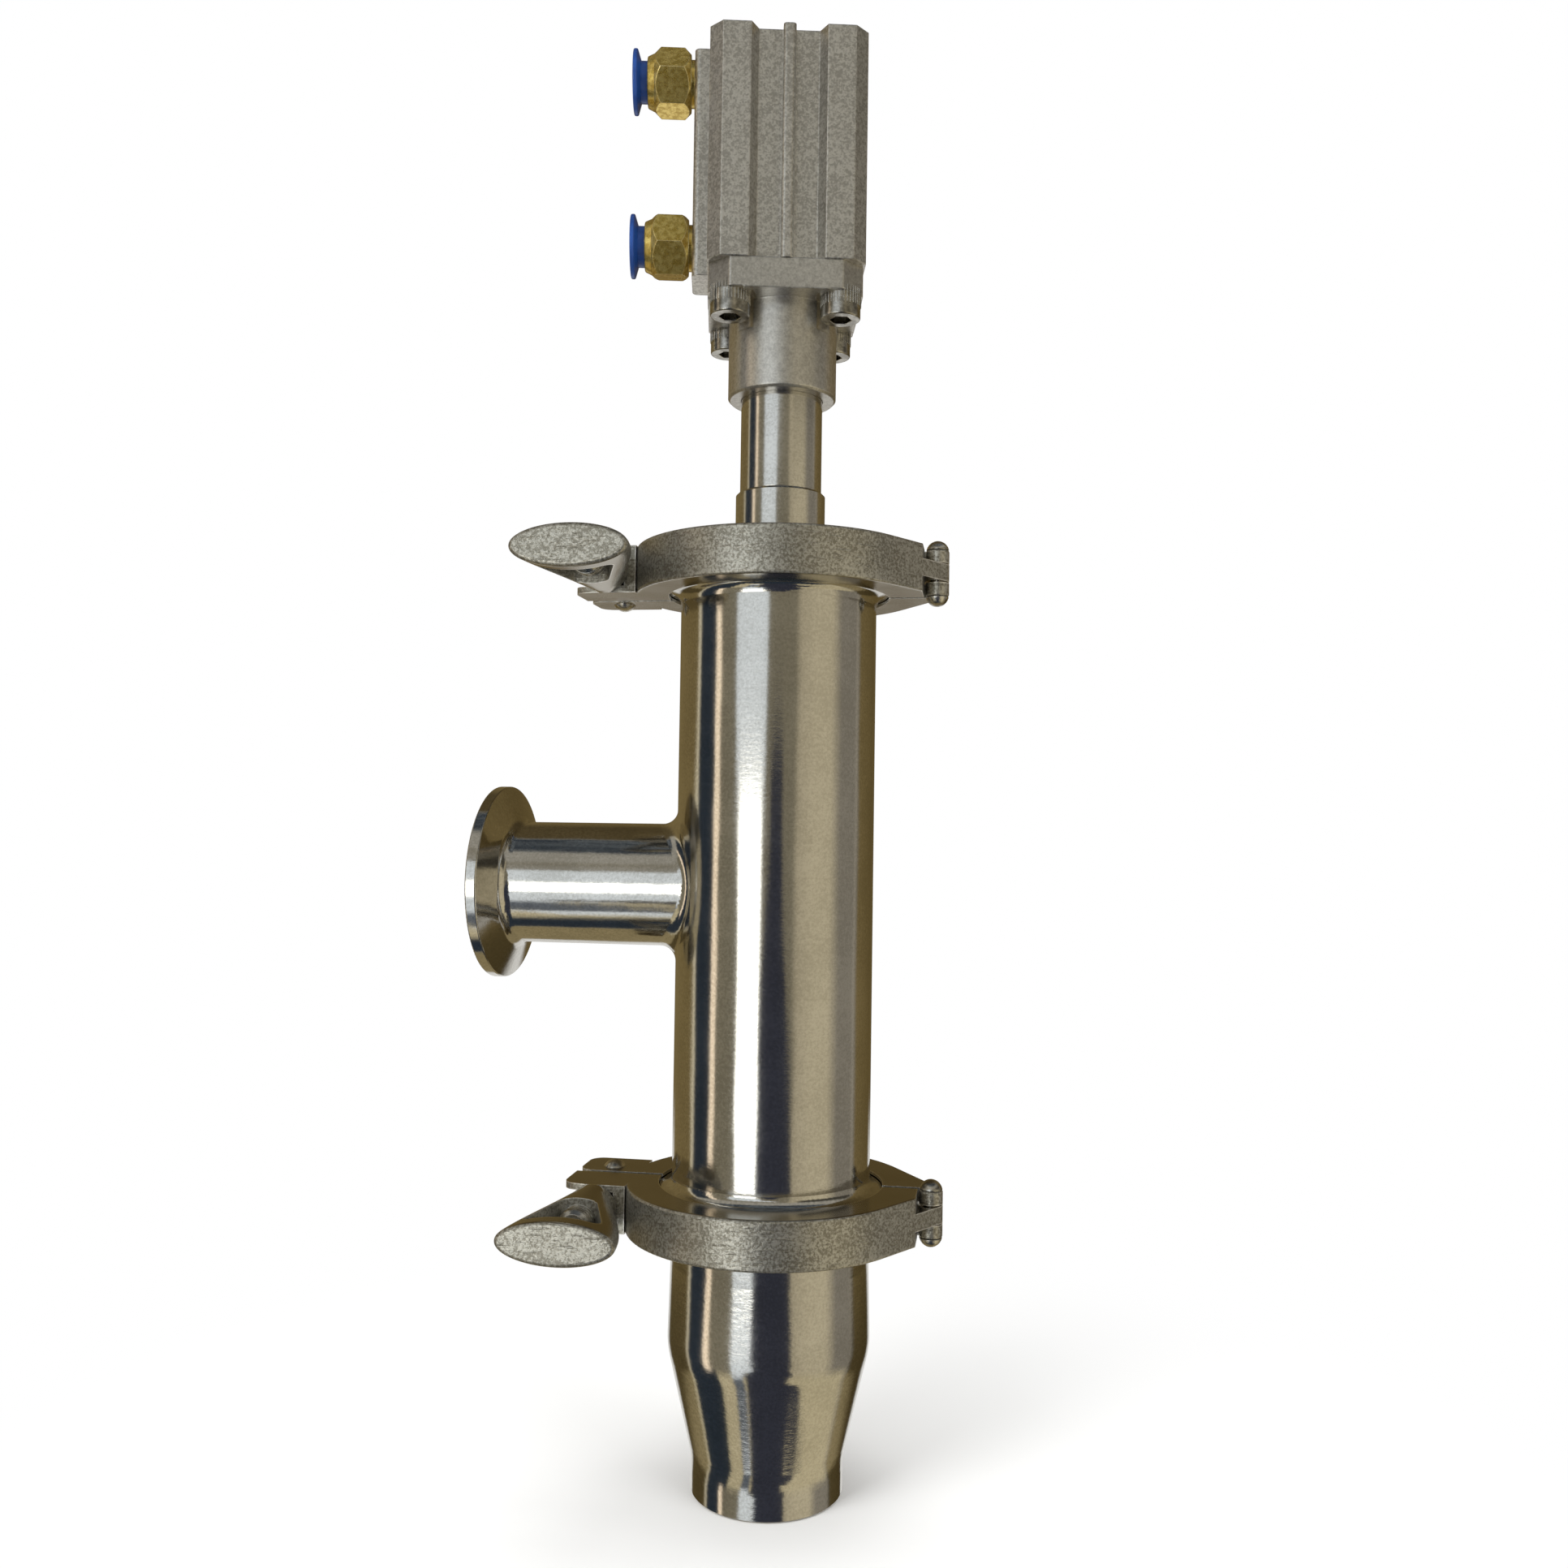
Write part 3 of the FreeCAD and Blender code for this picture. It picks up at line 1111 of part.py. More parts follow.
def make_wetted_pieces():
    """What the product runs through: the tee, the nozzle, their ferrules and gaskets."""
    make_body_tube()
    make_inlet_branch()
    make_inlet_ferrule()
    make_ferrule("upper_tee_ferrule", rim_od, tube_od, tee_top, upside_down=True)
    make_ferrule("lower_tee_ferrule", rim_od, tube_od, tee_bottom)
    make_ferrule("nozzle_ferrule", rim_od, tube_od, nozzle_length, upside_down=True)
    make_nozzle()
    make_gasket("upper_gasket", upper_joint)
    make_gasket("lower_gasket", lower_joint)


def make_neck_pieces():
    """The cap with what guides and seals the stem, and the tube above it."""
    make_cap()
    stem_hole = stem_od / 2 + running_gap
    make_ring("stem_seal", stem_seal_bottom, stem_seal_height, stem_hole, bush_od / 2)
    make_ring("guide_bush", bush_bottom, bush_length, stem_hole, bush_od / 2)
    make_housing_tube()


def make_moving_pieces():
    """What the air lifts: the plug, the stem, the rod and the piston."""
    make_plug()
    ring_reach = tip_bore / 2 - running_gap - plug_ring_thick / 2
    make_round_ring("plug_seal_ring", plug_ring_height, ring_reach, plug_ring_thick)
    make_stem()
    make_hex_nut("rod_lock_nut", stem_top, lock_nut_flats, lock_nut_height, rod_screw_od)
    make_rod()
    make_piston()
    make_piston_rings()
    nut_seat = piston_top - piston_nut_height
    make_hex_nut("piston_nut", nut_seat, piston_nut_flats, piston_nut_height, piston_screw_od)


def make_actuator_pieces():
    """The adapter, the cylinder and its cover, and the two fittings."""
    make_adapter()
    make_flange_screws()
    make_cylinder()
    make_snap_ring()
    make_rod_cover()
    make_ring("rod_seal", rod_seal_bottom, cover_seal_height, rod_od / 2 + running_gap,
              cover_seal_od / 2)
    for name, height, turn in (("lower", flange_top + lower_port_rise, lower_fitting_turn),
                               ("upper", cylinder_top - upper_port_drop, upper_fitting_turn)):
        make_fitting_body(name, height, turn)
        make_fitting_rings(name, height)
        make_release_collar(name, height)


def make_clamps():
    for name, joint in (("lower", lower_joint), ("upper", upper_joint)):
        make_clamp_front(name, joint)
        make_clamp_rear(name, joint)
        make_clamp_pin(f"{name}_hinge_pin", joint, hinge_pin_od, hinge_head_height,
                       hinge_reach, 0)
        make_clamp_pin(f"{name}_pivot_pin", joint, pivot_pin_od, pivot_head_height,
                       -bolt_reach, pivot_reach)
        make_eye_bolt(name, joint)
        make_loop_nut(name, joint)


def write_parts():
    """Checks every object, then writes each sub-part to its own file."""
    doc.recompute()
    for thing in doc.Objects:
        if "Invalid" in thing.State or "Error" in thing.State:
            raise RuntimeError(f"{thing.Label} ({thing.Name}) failed: {thing.State}")
    kinds = ("PartDesign::Body", "Part::Torus", "Part::Feature")
    subparts = [thing for thing in doc.Objects if thing.TypeId in kinds]
    for part in subparts:
        if part.Shape.isNull() or not part.Shape.isValid() or not part.Shape.Solids:
            raise RuntimeError(f"{part.Label} has no valid solid")
    os.makedirs("parts", exist_ok=True)
    for part in subparts:
        part.Shape.exportStep(os.path.join("parts", part.Label + ".step"))
    print(len(subparts), "sub-parts written")


make_wetted_pieces()
make_neck_pieces()
make_moving_pieces()
make_actuator_pieces()
make_clamps()
write_parts()
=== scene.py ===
import math

import bpy
from mathutils import Matrix, Vector


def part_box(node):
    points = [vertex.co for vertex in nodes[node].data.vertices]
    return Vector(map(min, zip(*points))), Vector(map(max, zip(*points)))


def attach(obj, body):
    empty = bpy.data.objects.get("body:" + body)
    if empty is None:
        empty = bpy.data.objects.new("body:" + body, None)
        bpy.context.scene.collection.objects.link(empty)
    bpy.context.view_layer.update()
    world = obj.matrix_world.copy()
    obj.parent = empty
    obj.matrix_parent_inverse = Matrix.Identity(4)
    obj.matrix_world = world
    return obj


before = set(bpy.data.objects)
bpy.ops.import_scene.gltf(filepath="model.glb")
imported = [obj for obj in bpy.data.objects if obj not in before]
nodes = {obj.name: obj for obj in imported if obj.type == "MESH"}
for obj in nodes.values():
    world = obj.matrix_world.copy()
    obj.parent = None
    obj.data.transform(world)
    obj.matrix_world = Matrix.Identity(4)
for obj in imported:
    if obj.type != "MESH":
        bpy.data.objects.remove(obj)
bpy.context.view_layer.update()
scene = bpy.context.scene
MM = 0.001


# Sockets that ordinary arithmetic works on

class Wire:
    """The output of a node. Arithmetic on wires adds Math nodes."""

    def __init__(self, recipe, socket):
        self.recipe = recipe
        self.socket = socket

    def __add__(self, other):
        return self.recipe.reckon("ADD", self, other)

    def __sub__(self, other):
        return self.recipe.reckon("SUBTRACT", self, other)

    def __rsub__(self, other):
        return self.recipe.reckon("SUBTRACT", other, self)

    def __mul__(self, other):
        return self.recipe.reckon("MULTIPLY", self, other)

    def __truediv__(self, other):
        return self.recipe.reckon("DIVIDE", self, other)

    def __pow__(self, other):
        return self.recipe.reckon("POWER", self, other)

    def __abs__(self):
        return self.recipe.reckon("ABSOLUTE", self)

    __radd__ = __add__
    __rmul__ = __mul__

    def least(self, other):
        return self.recipe.reckon("MINIMUM", self, other)

    def fraction(self):
        return self.recipe.reckon("FRACT", self)

    def between(self, low, high, to_low=0.0, to_high=1.0):
        """Runs smoothly from to_low at low to to_high at high, and stays level outside."""
        sockets = {"Value": self, "From Min": low, "From Max": high, "To Min": to_low,
                   "To Max": to_high}
        return self.recipe.add("ShaderNodeMapRange", {"interpolation_type": "SMOOTHSTEP"}, sockets)


class Recipe:
    """A node tree, with the one way that a node is added to it."""

    def __init__(self, tree):
        self.tree = tree
        tree.nodes.clear()

    def add(self, kind, settings=(), sockets=(), out=0):
        node = self.tree.nodes.new(kind)
        for name, value in dict(settings).items():
            if name == "stops":
                fill_ramp(node.color_ramp, value)
            else:
                setattr(node, name, value)
        for name, value in dict(sockets).items():
            if isinstance(value, Wire):
                self.tree.links.new(value.socket, node.inputs[name])
            else:
                node.inputs[name].default_value = value
        return Wire(self, node.outputs[out]) if len(node.outputs) else None

    def reckon(self, operation, *values):
        return self.add("ShaderNodeMath", {"operation": operation}, dict(enumerate(values)))

    def place(self):
        """Where a point lies on the piece, in metres."""
        return self.add("ShaderNodeTexCoord", out="Object")

    def facing(self):
        """Which way the surface faces on the piece at rest."""
        return self.add("ShaderNodeTexCoord", out="Normal")

    def axes(self, vector):
        split = self.add("ShaderNodeSeparateXYZ", sockets={0: vector})
        return [Wire(self, socket) for socket in split.socket.node.outputs]

    def stretched(self, vector, factors):
        return self.add("ShaderNodeVectorMath", {"operation": "MULTIPLY"}, {0: vector, 1: factors})

    def noise(self, where, scale, detail=2.0, harsh=0.5, wander=0.0):
        sockets = {"Vector": where, "Scale": scale, "Detail": detail, "Roughness": harsh,
                   "Distortion": wander}
        return self.add("ShaderNodeTexNoise", sockets=sockets)

    def mix(self, share, first, second):
        """A colour that runs from the first to the second as the share runs from 0 to 1."""
        return self.add("ShaderNodeMix", {"data_type": "RGBA"}, {0: share, 6: first, 7: second}, 2)

    def bump(self, height, strength, depth, under=None):
        sockets = {"Height": height, "Strength": strength, "Distance": depth}
        if under is not None:
            sockets["Normal"] = under
        return self.add("ShaderNodeBump", sockets=sockets)

    def worn_and_highlit_edges(self, width):
        """A normal that rounds the edges over the given width, and 1 where it does so: the mask
        that the finishes paint bright, partly as wear and partly as a painted highlight.
        """
        rounded = self.add("ShaderNodeBevel", {"samples": 6}, {"Radius": width})
        flat = self.add("ShaderNodeNewGeometry", out="Normal")
        likeness = self.add("ShaderNodeVectorMath", {"operation": "DOT_PRODUCT"},
                            {0: rounded, 1: flat}, "Value")
        return rounded, likeness.between(0.99, 0.88)

    def scratches(self, where, scale, share):
        """Thin hair lines, broken up so that only a share of them shows."""
        field = self.noise(where, scale, 1.0, 0.4, 0.6)
        line = abs(field - 0.5).between(0.0, 0.006, 1.0, 0.0)
        shown = self.noise(where, scale * 1.7, 2.0).between(1.0 - share, 1.04 - share)
        return line * shown

    def surface(self, constants=(), **links):
        """The piece's surface: links vary over it, constants are the same all over."""
        names = {"colour": "Base Color", "roughness": "Roughness", "metallic": "Metallic",
                 "normal": "Normal"}
        sockets = {names[key]: value for key, value in links.items()} | dict(constants)
        shader = self.add("ShaderNodeBsdfPrincipled", sockets=sockets)
        self.add("ShaderNodeOutputMaterial", sockets={"Surface": shader})


def fill_ramp(ramp, stops):
    while len(ramp.elements) > 1:
        ramp.elements.remove(ramp.elements[-1])
    ramp.elements[0].position, ramp.elements[0].color = stops[0]
    for position, colour in stops[1:]:
        ramp.elements.new(position).color = colour


def rgb(red, green, blue):
    return red, green, blue, 1.0


def new_material(name):
    material = bpy.data.materials.new(name)
    material.use_nodes = True
    return material, Recipe(material.node_tree)


# Finishes. Scales count the specks per metre, so 1900 gives specks of about half a millimetre.

def polished_steel(name, ring_step, wave_height=1.0, dull=0.0):
    """Stainless steel turned or drawn, then buffed: fine rings, soft waves and a few scratches.
    ring_step stretches the fine lines along the piece's own directions."""
    dark, pale, scratched = rgb(0.53, 0.515, 0.48), rgb(0.68, 0.665, 0.635), rgb(0.88, 0.87, 0.85)
    material, recipe = new_material(name)
    place = recipe.place()
    waves = recipe.noise(recipe.stretched(place, (1.0, 1.0, 0.3)), 80.0, 1.0)
    buffing = recipe.noise(recipe.stretched(place, (1.0, 1.0, 2.6)), 360.0, 3.0, 0.65)
    rings = recipe.noise(recipe.stretched(place, ring_step), 1.0, 2.0, 0.7)
    hair = recipe.scratches(recipe.stretched(place, (1.0, 1.0, 0.7)), 55.0, 0.22)
    smudge = recipe.noise(place, 46.0, 3.0, 0.6)
    grain = recipe.noise(place, 1500.0, 2.0, 0.7)
    roughness = (0.045 + dull) + 0.07 * smudge + 0.03 * rings + 0.04 * grain + 0.2 * hair
    tone = 0.4 * smudge + 0.45 * grain + 0.15 * buffing
    colour = recipe.mix(tone.between(0.38, 0.62), dark, pale)
    colour = recipe.mix(0.35 * hair, colour, scratched)
    height = wave_height * (0.45 * waves + 0.035 * buffing)
    height = height + 0.006 * rings + 0.004 * grain - 0.012 * hair
    normal = recipe.bump(height, 1.0, 0.4 * MM)
    recipe.surface(colour=colour, roughness=roughness, normal=normal, constants={"Metallic": 1.0})
    return material


def cast_steel(name):
    """Investment cast stainless steel: pitted outside, polished on the faces that lie level."""
    dark, pale, rubbed = rgb(0.24, 0.225, 0.185), rgb(0.50, 0.485, 0.43), rgb(0.17, 0.155, 0.125)
    ground_dark, ground_pale = rgb(0.30, 0.275, 0.225), rgb(0.46, 0.43, 0.37)
    worn_edge_highlight = rgb(0.97, 0.95, 0.90)
    material, recipe = new_material(name)
    place = recipe.place()
    level = abs(recipe.axes(recipe.facing())[2]).between(0.7, 0.9)
    edge = recipe.worn_and_highlit_edges(0.6 * MM)[1]
    pits = recipe.noise(place, 1500.0, 2.0, 0.6)
    grain = recipe.noise(place, 2600.0, 2.0, 0.65)
    patches = recipe.noise(recipe.stretched(place, (1.0, 1.0, 3.0)), 60.0, 4.0, 0.6)
    rubs = recipe.noise(recipe.stretched(place, (1.0, 1.0, 7.0)), 170.0, 3.0, 0.6)
    rubs = rubs.between(0.56, 0.70)
    speck = 0.5 * pits + 0.3 * grain + 0.2 * patches
    skin = recipe.mix(speck.between(0.42, 0.58), dark, pale)
    skin = recipe.mix(rubs * patches.between(0.4, 0.6, 0.0, 0.7), skin, rubbed)
    ground = recipe.mix(patches, ground_dark, ground_pale)
    colour = recipe.mix(level, skin, ground)
    # Edges painted bright: partly wear, partly a painted highlight standing in for the light the
    # rims catch.
    colour = recipe.mix(0.85 * edge, colour, worn_edge_highlight)
    roughness = (0.27 + 0.14 * grain) * (1.0 - level) + (0.12 + 0.12 * patches) * level
    height = (0.5 * pits + 0.4 * grain + 0.5 * rubs) * (1.0 - 0.9 * level) + 0.04 * grain
    normal = recipe.bump(height, 0.8, 0.12 * MM)
    metallic = 0.90 + 0.10 * level
    recipe.surface(colour=colour, roughness=roughness, normal=normal, metallic=metallic)
    return material


def blasted_aluminium(name, coarse):
    """Bead blasted, clear anodised aluminium. coarse runs from 0, fine, to 1, mottled."""
    dark, pale, worn_edge_highlight = rgb(0.46, 0.445, 0.415), rgb(0.72, 0.705, 0.665), rgb(0.97, 0.96, 0.94)
    material, recipe = new_material(name)
    place = recipe.place()
    speckle = recipe.noise(place, 1900.0, 2.0, 0.6)
    mottle = recipe.noise(place, 900.0, 2.0, 0.6)
    cloud = recipe.noise(place, 55.0, 3.0, 0.6)
    rounded, edge = recipe.worn_and_highlit_edges(0.5 * MM)
    chipped_highlight = recipe.noise(place, 700.0, 2.0).between(0.42, 0.58)
    tone = 0.45 * speckle + 0.40 * mottle + 0.15 * cloud
    reach = 0.22 - 0.14 * coarse
    colour = recipe.mix(tone.between(0.5 - reach, 0.5 + reach), dark, pale)
    # Edges painted bright where the noise lets them: partly chipped wear, partly a painted
    # highlight.
    colour = recipe.mix(0.8 * edge * chipped_highlight, colour, worn_edge_highlight)
    roughness = 0.27 + 0.14 * speckle
    normal = recipe.bump(speckle + 0.8 * mottle, 0.10 + 0.50 * coarse, 0.08 * MM, rounded)
    recipe.surface(colour=colour, roughness=roughness, normal=normal, constants={"Metallic": 0.96})
    return material


def machined_brass(name):
    """Turned and milled brass with a little tarnish, and edges painted bright: partly wear, partly
    a painted highlight.
    """
    clean, tarnished, worn_edge_highlight = rgb(0.84, 0.64, 0.20), rgb(0.56, 0.39, 0.08), rgb(1.0, 0.92, 0.60)
    material, recipe = new_material(name)
    place = recipe.place()
    grain = recipe.noise(place, 2400.0, 2.0, 0.6)
    tarnish = recipe.noise(place, 700.0, 3.0, 0.6)
    rounded, edge = recipe.worn_and_highlit_edges(0.35 * MM)
    colour = recipe.mix(tarnish.between(0.38, 0.62), clean, tarnished)
    # Edges painted bright: partly wear, partly a painted highlight.
    colour = recipe.mix(0.8 * edge, colour, worn_edge_highlight)
    roughness = 0.16 + 0.14 * tarnish + 0.04 * grain
    normal = recipe.bump(0.3 * grain + 0.6 * tarnish, 0.4, 0.04 * MM, rounded)
    recipe.surface(colour=colour, roughness=roughness, normal=normal, constants={"Metallic": 0.88})
    return material


def machined_steel(name, shade=1.0):
    """Turned or pressed stainless steel of fasteners, with handling marks."""
    dark = rgb(0.36 * shade, 0.345 * shade, 0.31 * shade)
    pale = rgb(0.72 * shade, 0.705 * shade, 0.665 * shade)
    worn_edge_highlight = rgb(0.92, 0.91, 0.88)
    material, recipe = new_material(name)
    place = recipe.place()
    grain = recipe.noise(place, 1900.0, 2.0, 0.6)
    stain = recipe.noise(place, 420.0, 3.0, 0.6)
    rounded, edge = recipe.worn_and_highlit_edges(0.3 * MM)
    colour = recipe.mix(stain.between(0.35, 0.65), dark, pale)
    # Edges painted bright: partly wear, partly a painted highlight.
    colour = recipe.mix(0.8 * edge, colour, worn_edge_highlight)
    roughness = 0.15 + 0.14 * stain + 0.06 * grain
    normal = recipe.bump(grain + stain, 0.4, 0.04 * MM, rounded)
    recipe.surface(colour=colour, roughness=roughness, normal=normal, constants={"Metallic": 1.0})
    return material


def moulded_plastic(name, dark, light, shine):
    """Plastic, rubber or pressed powder. shine is the roughness where the grain is lowest."""
    material, recipe = new_material(name)
    place = recipe.place()
    grain = recipe.noise(place, 1900.0, 2.0)
    cloud = recipe.noise(place, 150.0, 2.0)
    colour = recipe.mix(cloud.between(0.3, 0.7), dark, light)
    roughness = shine + 0.12 * grain
    normal = recipe.bump(grain, 0.3, 0.03 * MM)
    recipe.surface(colour=colour, roughness=roughness, normal=normal)
    return material


# Shapes that repeat

class Pattern(Recipe):
    """A Geometry Nodes tree whose sizes, in metres or radians, are named inputs."""

    def __init__(self, name, *sizes):
        super().__init__(bpy.data.node_groups.new(name, "GeometryNodeTree"))
        sockets = self.tree.interface
        self.keys = {}
        for size in sizes:
            socket = sockets.new_socket(size, in_out="INPUT", socket_type="NodeSocketFloat")
            self.keys[size] = socket.identifier
        sockets.new_socket("Geometry", in_out="OUTPUT", socket_type="NodeSocketGeometry")
        source = self.tree.nodes.new("NodeGroupInput")
        self.sizes = [Wire(self, source.outputs[size]) for size in sizes]

    def point(self, x=0.0, y=0.0, z=0.0):
        return self.add("ShaderNodeCombineXYZ", sockets={"X": x, "Y": y, "Z": z})

    def finish(self, shape, material):
        whole = self.add("GeometryNodeRealizeInstances", sockets={"Geometry": shape})
        painted = self.add("GeometryNodeSetMaterial",
                           sockets={"Geometry": whole, "Material": material})
        self.add("NodeGroupOutput", sockets={"Geometry": painted})


def make_piece(name, pattern, body, slot, **sizes):
    """The pattern at the given sizes, as a plain mesh that rides on a body."""
    piece = bpy.data.objects.new(name, bpy.data.meshes.new(name))
    scene.collection.objects.link(piece)
    modifier = piece.modifiers.new("pattern", "NODES")
    modifier.node_group = pattern.tree
    for size, value in sizes.items():
        modifier[pattern.keys[size]] = value
    made = piece.evaluated_get(bpy.context.evaluated_depsgraph_get())
    mesh = bpy.data.meshes.new_from_object(made)
    piece.modifiers.remove(modifier)
    piece.data = mesh
    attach(piece, body)


BOLT_RADIUS = 4.0 * MM
THREAD_START = -5.5 * MM       # where the thread begins on the bolt, which runs towards the front
THREAD_PITCH = 1.25 * MM
THREAD_RIDGE = 0.22 * MM
THREAD_END_GAP = 0.15 * MM     # between the thread's end and the bolt's
THREAD_END_SLOPE = 6.0         # how steeply the thread's ends are turned in
THREAD_FLANK = (0.15, 0.85)    # the flank's share of the rise, between flat root and flat crest
STEPS_ALONG, STEPS_AROUND = 161, 33
SEAM_WIDTH = 0.001 * MM

SCREW_HEAD_RADIUS = 5.0 * MM
SCREW_SPACING = 28.0 * MM
CYLINDER_TURN = math.radians(11.5)
KNURL_COUNT = 38
KNURL_RIDGE = 0.2 * MM
KNURL_LENGTH = 4.4 * MM
KNURL_CENTRE = 3.1 * MM        # above the lowest face of the screws' heads


def bolt_thread_pattern(material):
    """A screw thread wound round a line that runs towards the front, its ends turned in."""
    pattern = Pattern("bolt_thread", "radius", "ridge", "pitch", "length", "across", "start",
                      "height")
    radius, ridge, pitch, length, across, start, height = pattern.sizes
    grid = pattern.add("GeometryNodeMeshGrid",
                       sockets={"Size X": 1.0, "Size Y": 1.0, "Vertices X": STEPS_ALONG,
                                "Vertices Y": STEPS_AROUND})
    along, around, _ = pattern.axes(pattern.add("GeometryNodeInputPosition"))
    along = (along + 0.5) * length
    turn = around + 0.5
    rise = 1.0 - abs((along / pitch - turn).fraction() * 2.0 - 1.0)
    to_end = along.least(length - along)
    reach = (radius + ridge * rise.between(*THREAD_FLANK)).least(to_end * THREAD_END_SLOPE)
    angle = turn * math.tau
    place = pattern.point(across + reach * pattern.reckon("COSINE", angle), start - along,
                          height + reach * pattern.reckon("SINE", angle))
    wound = pattern.add("GeometryNodeSetPosition", sockets={"Geometry": grid, "Position": place})
    joined = pattern.add("GeometryNodeMergeByDistance",
                         sockets={"Geometry": wound, "Distance": SEAM_WIDTH})
    outside = pattern.add("GeometryNodeFlipFaces", sockets={"Mesh": joined})
    pattern.finish(outside, material)
    return pattern


def knurl_pattern(material):
    """Four rings of small upright ridges, one round the head of each flange screw."""
    pattern = Pattern("screw_knurl", "radius", "ridge", "tall", "spacing", "turn", "height")
    radius, ridge, tall, spacing, turn, height = pattern.sizes
    bar = pattern.add("GeometryNodeMeshCone",
                      sockets={"Vertices": 3, "Radius Top": ridge, "Radius Bottom": ridge,
                               "Depth": tall})
    ring = pattern.add("GeometryNodeMeshCircle",
                       sockets={"Vertices": KNURL_COUNT, "Radius": radius})
    x, y, _ = pattern.axes(pattern.add("GeometryNodeInputPosition"))
    outwards = pattern.point(z=pattern.reckon("ARCTAN2", y, x))
    ridges = pattern.add("GeometryNodeInstanceOnPoints",
                         sockets={"Points": ring, "Instance": bar, "Rotation": outwards})
    corners = pattern.add("GeometryNodeMeshGrid",
                          sockets={"Size X": spacing, "Size Y": spacing, "Vertices X": 2,
                                   "Vertices Y": 2})
    rings = pattern.add("GeometryNodeInstanceOnPoints",
                        sockets={"Points": corners, "Instance": ridges})
    placed = pattern.add("GeometryNodeTransform",
                         sockets={"Geometry": rings, "Translation": pattern.point(z=height),
                                  "Rotation": pattern.point(z=turn)})
    pattern.finish(placed, material)
    return pattern


def make_threads():
    pattern = bolt_thread_pattern(bolt_steel)
    for end in ("lower", "upper"):
        low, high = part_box(f"{end}_eye_bolt")
        make_piece(f"{end}_bolt_thread", pattern, f"{end}_clamp_bolt", "fastener_steel",
                   radius=BOLT_RADIUS, ridge=THREAD_RIDGE, pitch=THREAD_PITCH,
                   length=THREAD_START - low[1] - THREAD_END_GAP, across=(low[0] + high[0]) / 2,
                   start=THREAD_START, height=(low[2] + high[2]) / 2)


def make_knurls():
    pattern = knurl_pattern(screw_steel)
    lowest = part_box("flange_screws")[0][2]
    make_piece("flange_screw_knurls", pattern, "valve_body", "fastener_steel",
               radius=SCREW_HEAD_RADIUS, ridge=KNURL_RIDGE, tall=KNURL_LENGTH,
               spacing=SCREW_SPACING, turn=CYLINDER_TURN, height=lowest + KNURL_CENTRE)


# Which finish each piece has

UPRIGHT_RINGS = (25.0, 25.0, 2600.0)
BRANCH_RINGS = (2600.0, 25.0, 25.0)

tube_steel = polished_steel("polished_tube_steel", UPRIGHT_RINGS)
nozzle_steel = polished_steel("mirror_polished_steel", UPRIGHT_RINGS, wave_height=1.5)
branch_steel = polished_steel("polished_branch_steel", BRANCH_RINGS)
turned_steel = polished_steel("turned_steel", UPRIGHT_RINGS, wave_height=0.3, dull=0.05)
clamp_steel = cast_steel("cast_clamp_steel")
cylinder_aluminium = blasted_aluminium("mottled_aluminium", 1.0)
adapter_aluminium = blasted_aluminium("satin_aluminium", 0.25)
brass = machined_brass("machined_brass")
bolt_steel = machined_steel("bolt_steel")
screw_steel = machined_steel("screw_steel", 0.8)
collar_blue = moulded_plastic("blue_collar_plastic", rgb(0.007, 0.034, 0.15),
                              rgb(0.012, 0.055, 0.23), 0.26)
bush_white = moulded_plastic("bush_plastic", rgb(0.72, 0.71, 0.67), rgb(0.80, 0.79, 0.75), 0.4)
rubber = moulded_plastic("seal_rubber", rgb(0.012, 0.012, 0.013), rgb(0.028, 0.027, 0.026), 0.55)
ferrite = moulded_plastic("magnet_ferrite", rgb(0.035, 0.033, 0.032), rgb(0.07, 0.066, 0.062),
                          0.45)


def ends(*names):
    return [f"{end}_{name}" for end in ("lower", "upper") for name in names]


FINISHES = (
    (tube_steel, ["body_tube", "upper_tee_ferrule", "lower_tee_ferrule"]),
    (nozzle_steel, ["nozzle_reducer", "nozzle_ferrule"]),
    (branch_steel, ["inlet_branch", "inlet_ferrule"]),
    (turned_steel, ["top_cap", "housing_tube", "stem", "plug", "piston_rod"]),
    (clamp_steel, ends("clamp_front", "clamp_rear", "loop_nut")),
    (bolt_steel, ["snap_ring", "rod_lock_nut", "piston_nut",
                  *ends("hinge_pin", "pivot_pin", "eye_bolt", "grab_ring")]),
    (screw_steel, ["flange_screws"]),
    (cylinder_aluminium, ["cylinder_body"]),
    (adapter_aluminium, ["actuator_adapter", "piston", "rod_cover"]),
    (brass, ends("fitting_body")),
    (collar_blue, ends("release_collar")),
    (bush_white, ["guide_bush"]),
    (ferrite, ["magnet_ring"]),
    (rubber, ["upper_gasket", "lower_gasket", "stem_seal", "plug_seal_ring", "rod_seal",
              "lower_piston_seal", "upper_piston_seal", *ends("tube_seal")]),
)


def finish_cad_nodes():
    for material, names in FINISHES:
        for name in names:
            slots = nodes[name].data.materials
            slots.clear()
            slots.append(material)


# Camera. Its turn is in degrees, its tilt and roll in radians, and its lens in millimetres.

CAMERA_PLACE = Vector((57.3, -353.1, 167.7)) * MM
CAMERA_TURN = 8.9
CAMERA_TILT = 0.0323
CAMERA_ROLL = 0.0142
CAMERA_LENS = 31.61
SENSOR_WIDTH = 36.0
NEAREST_SEEN = 0.01


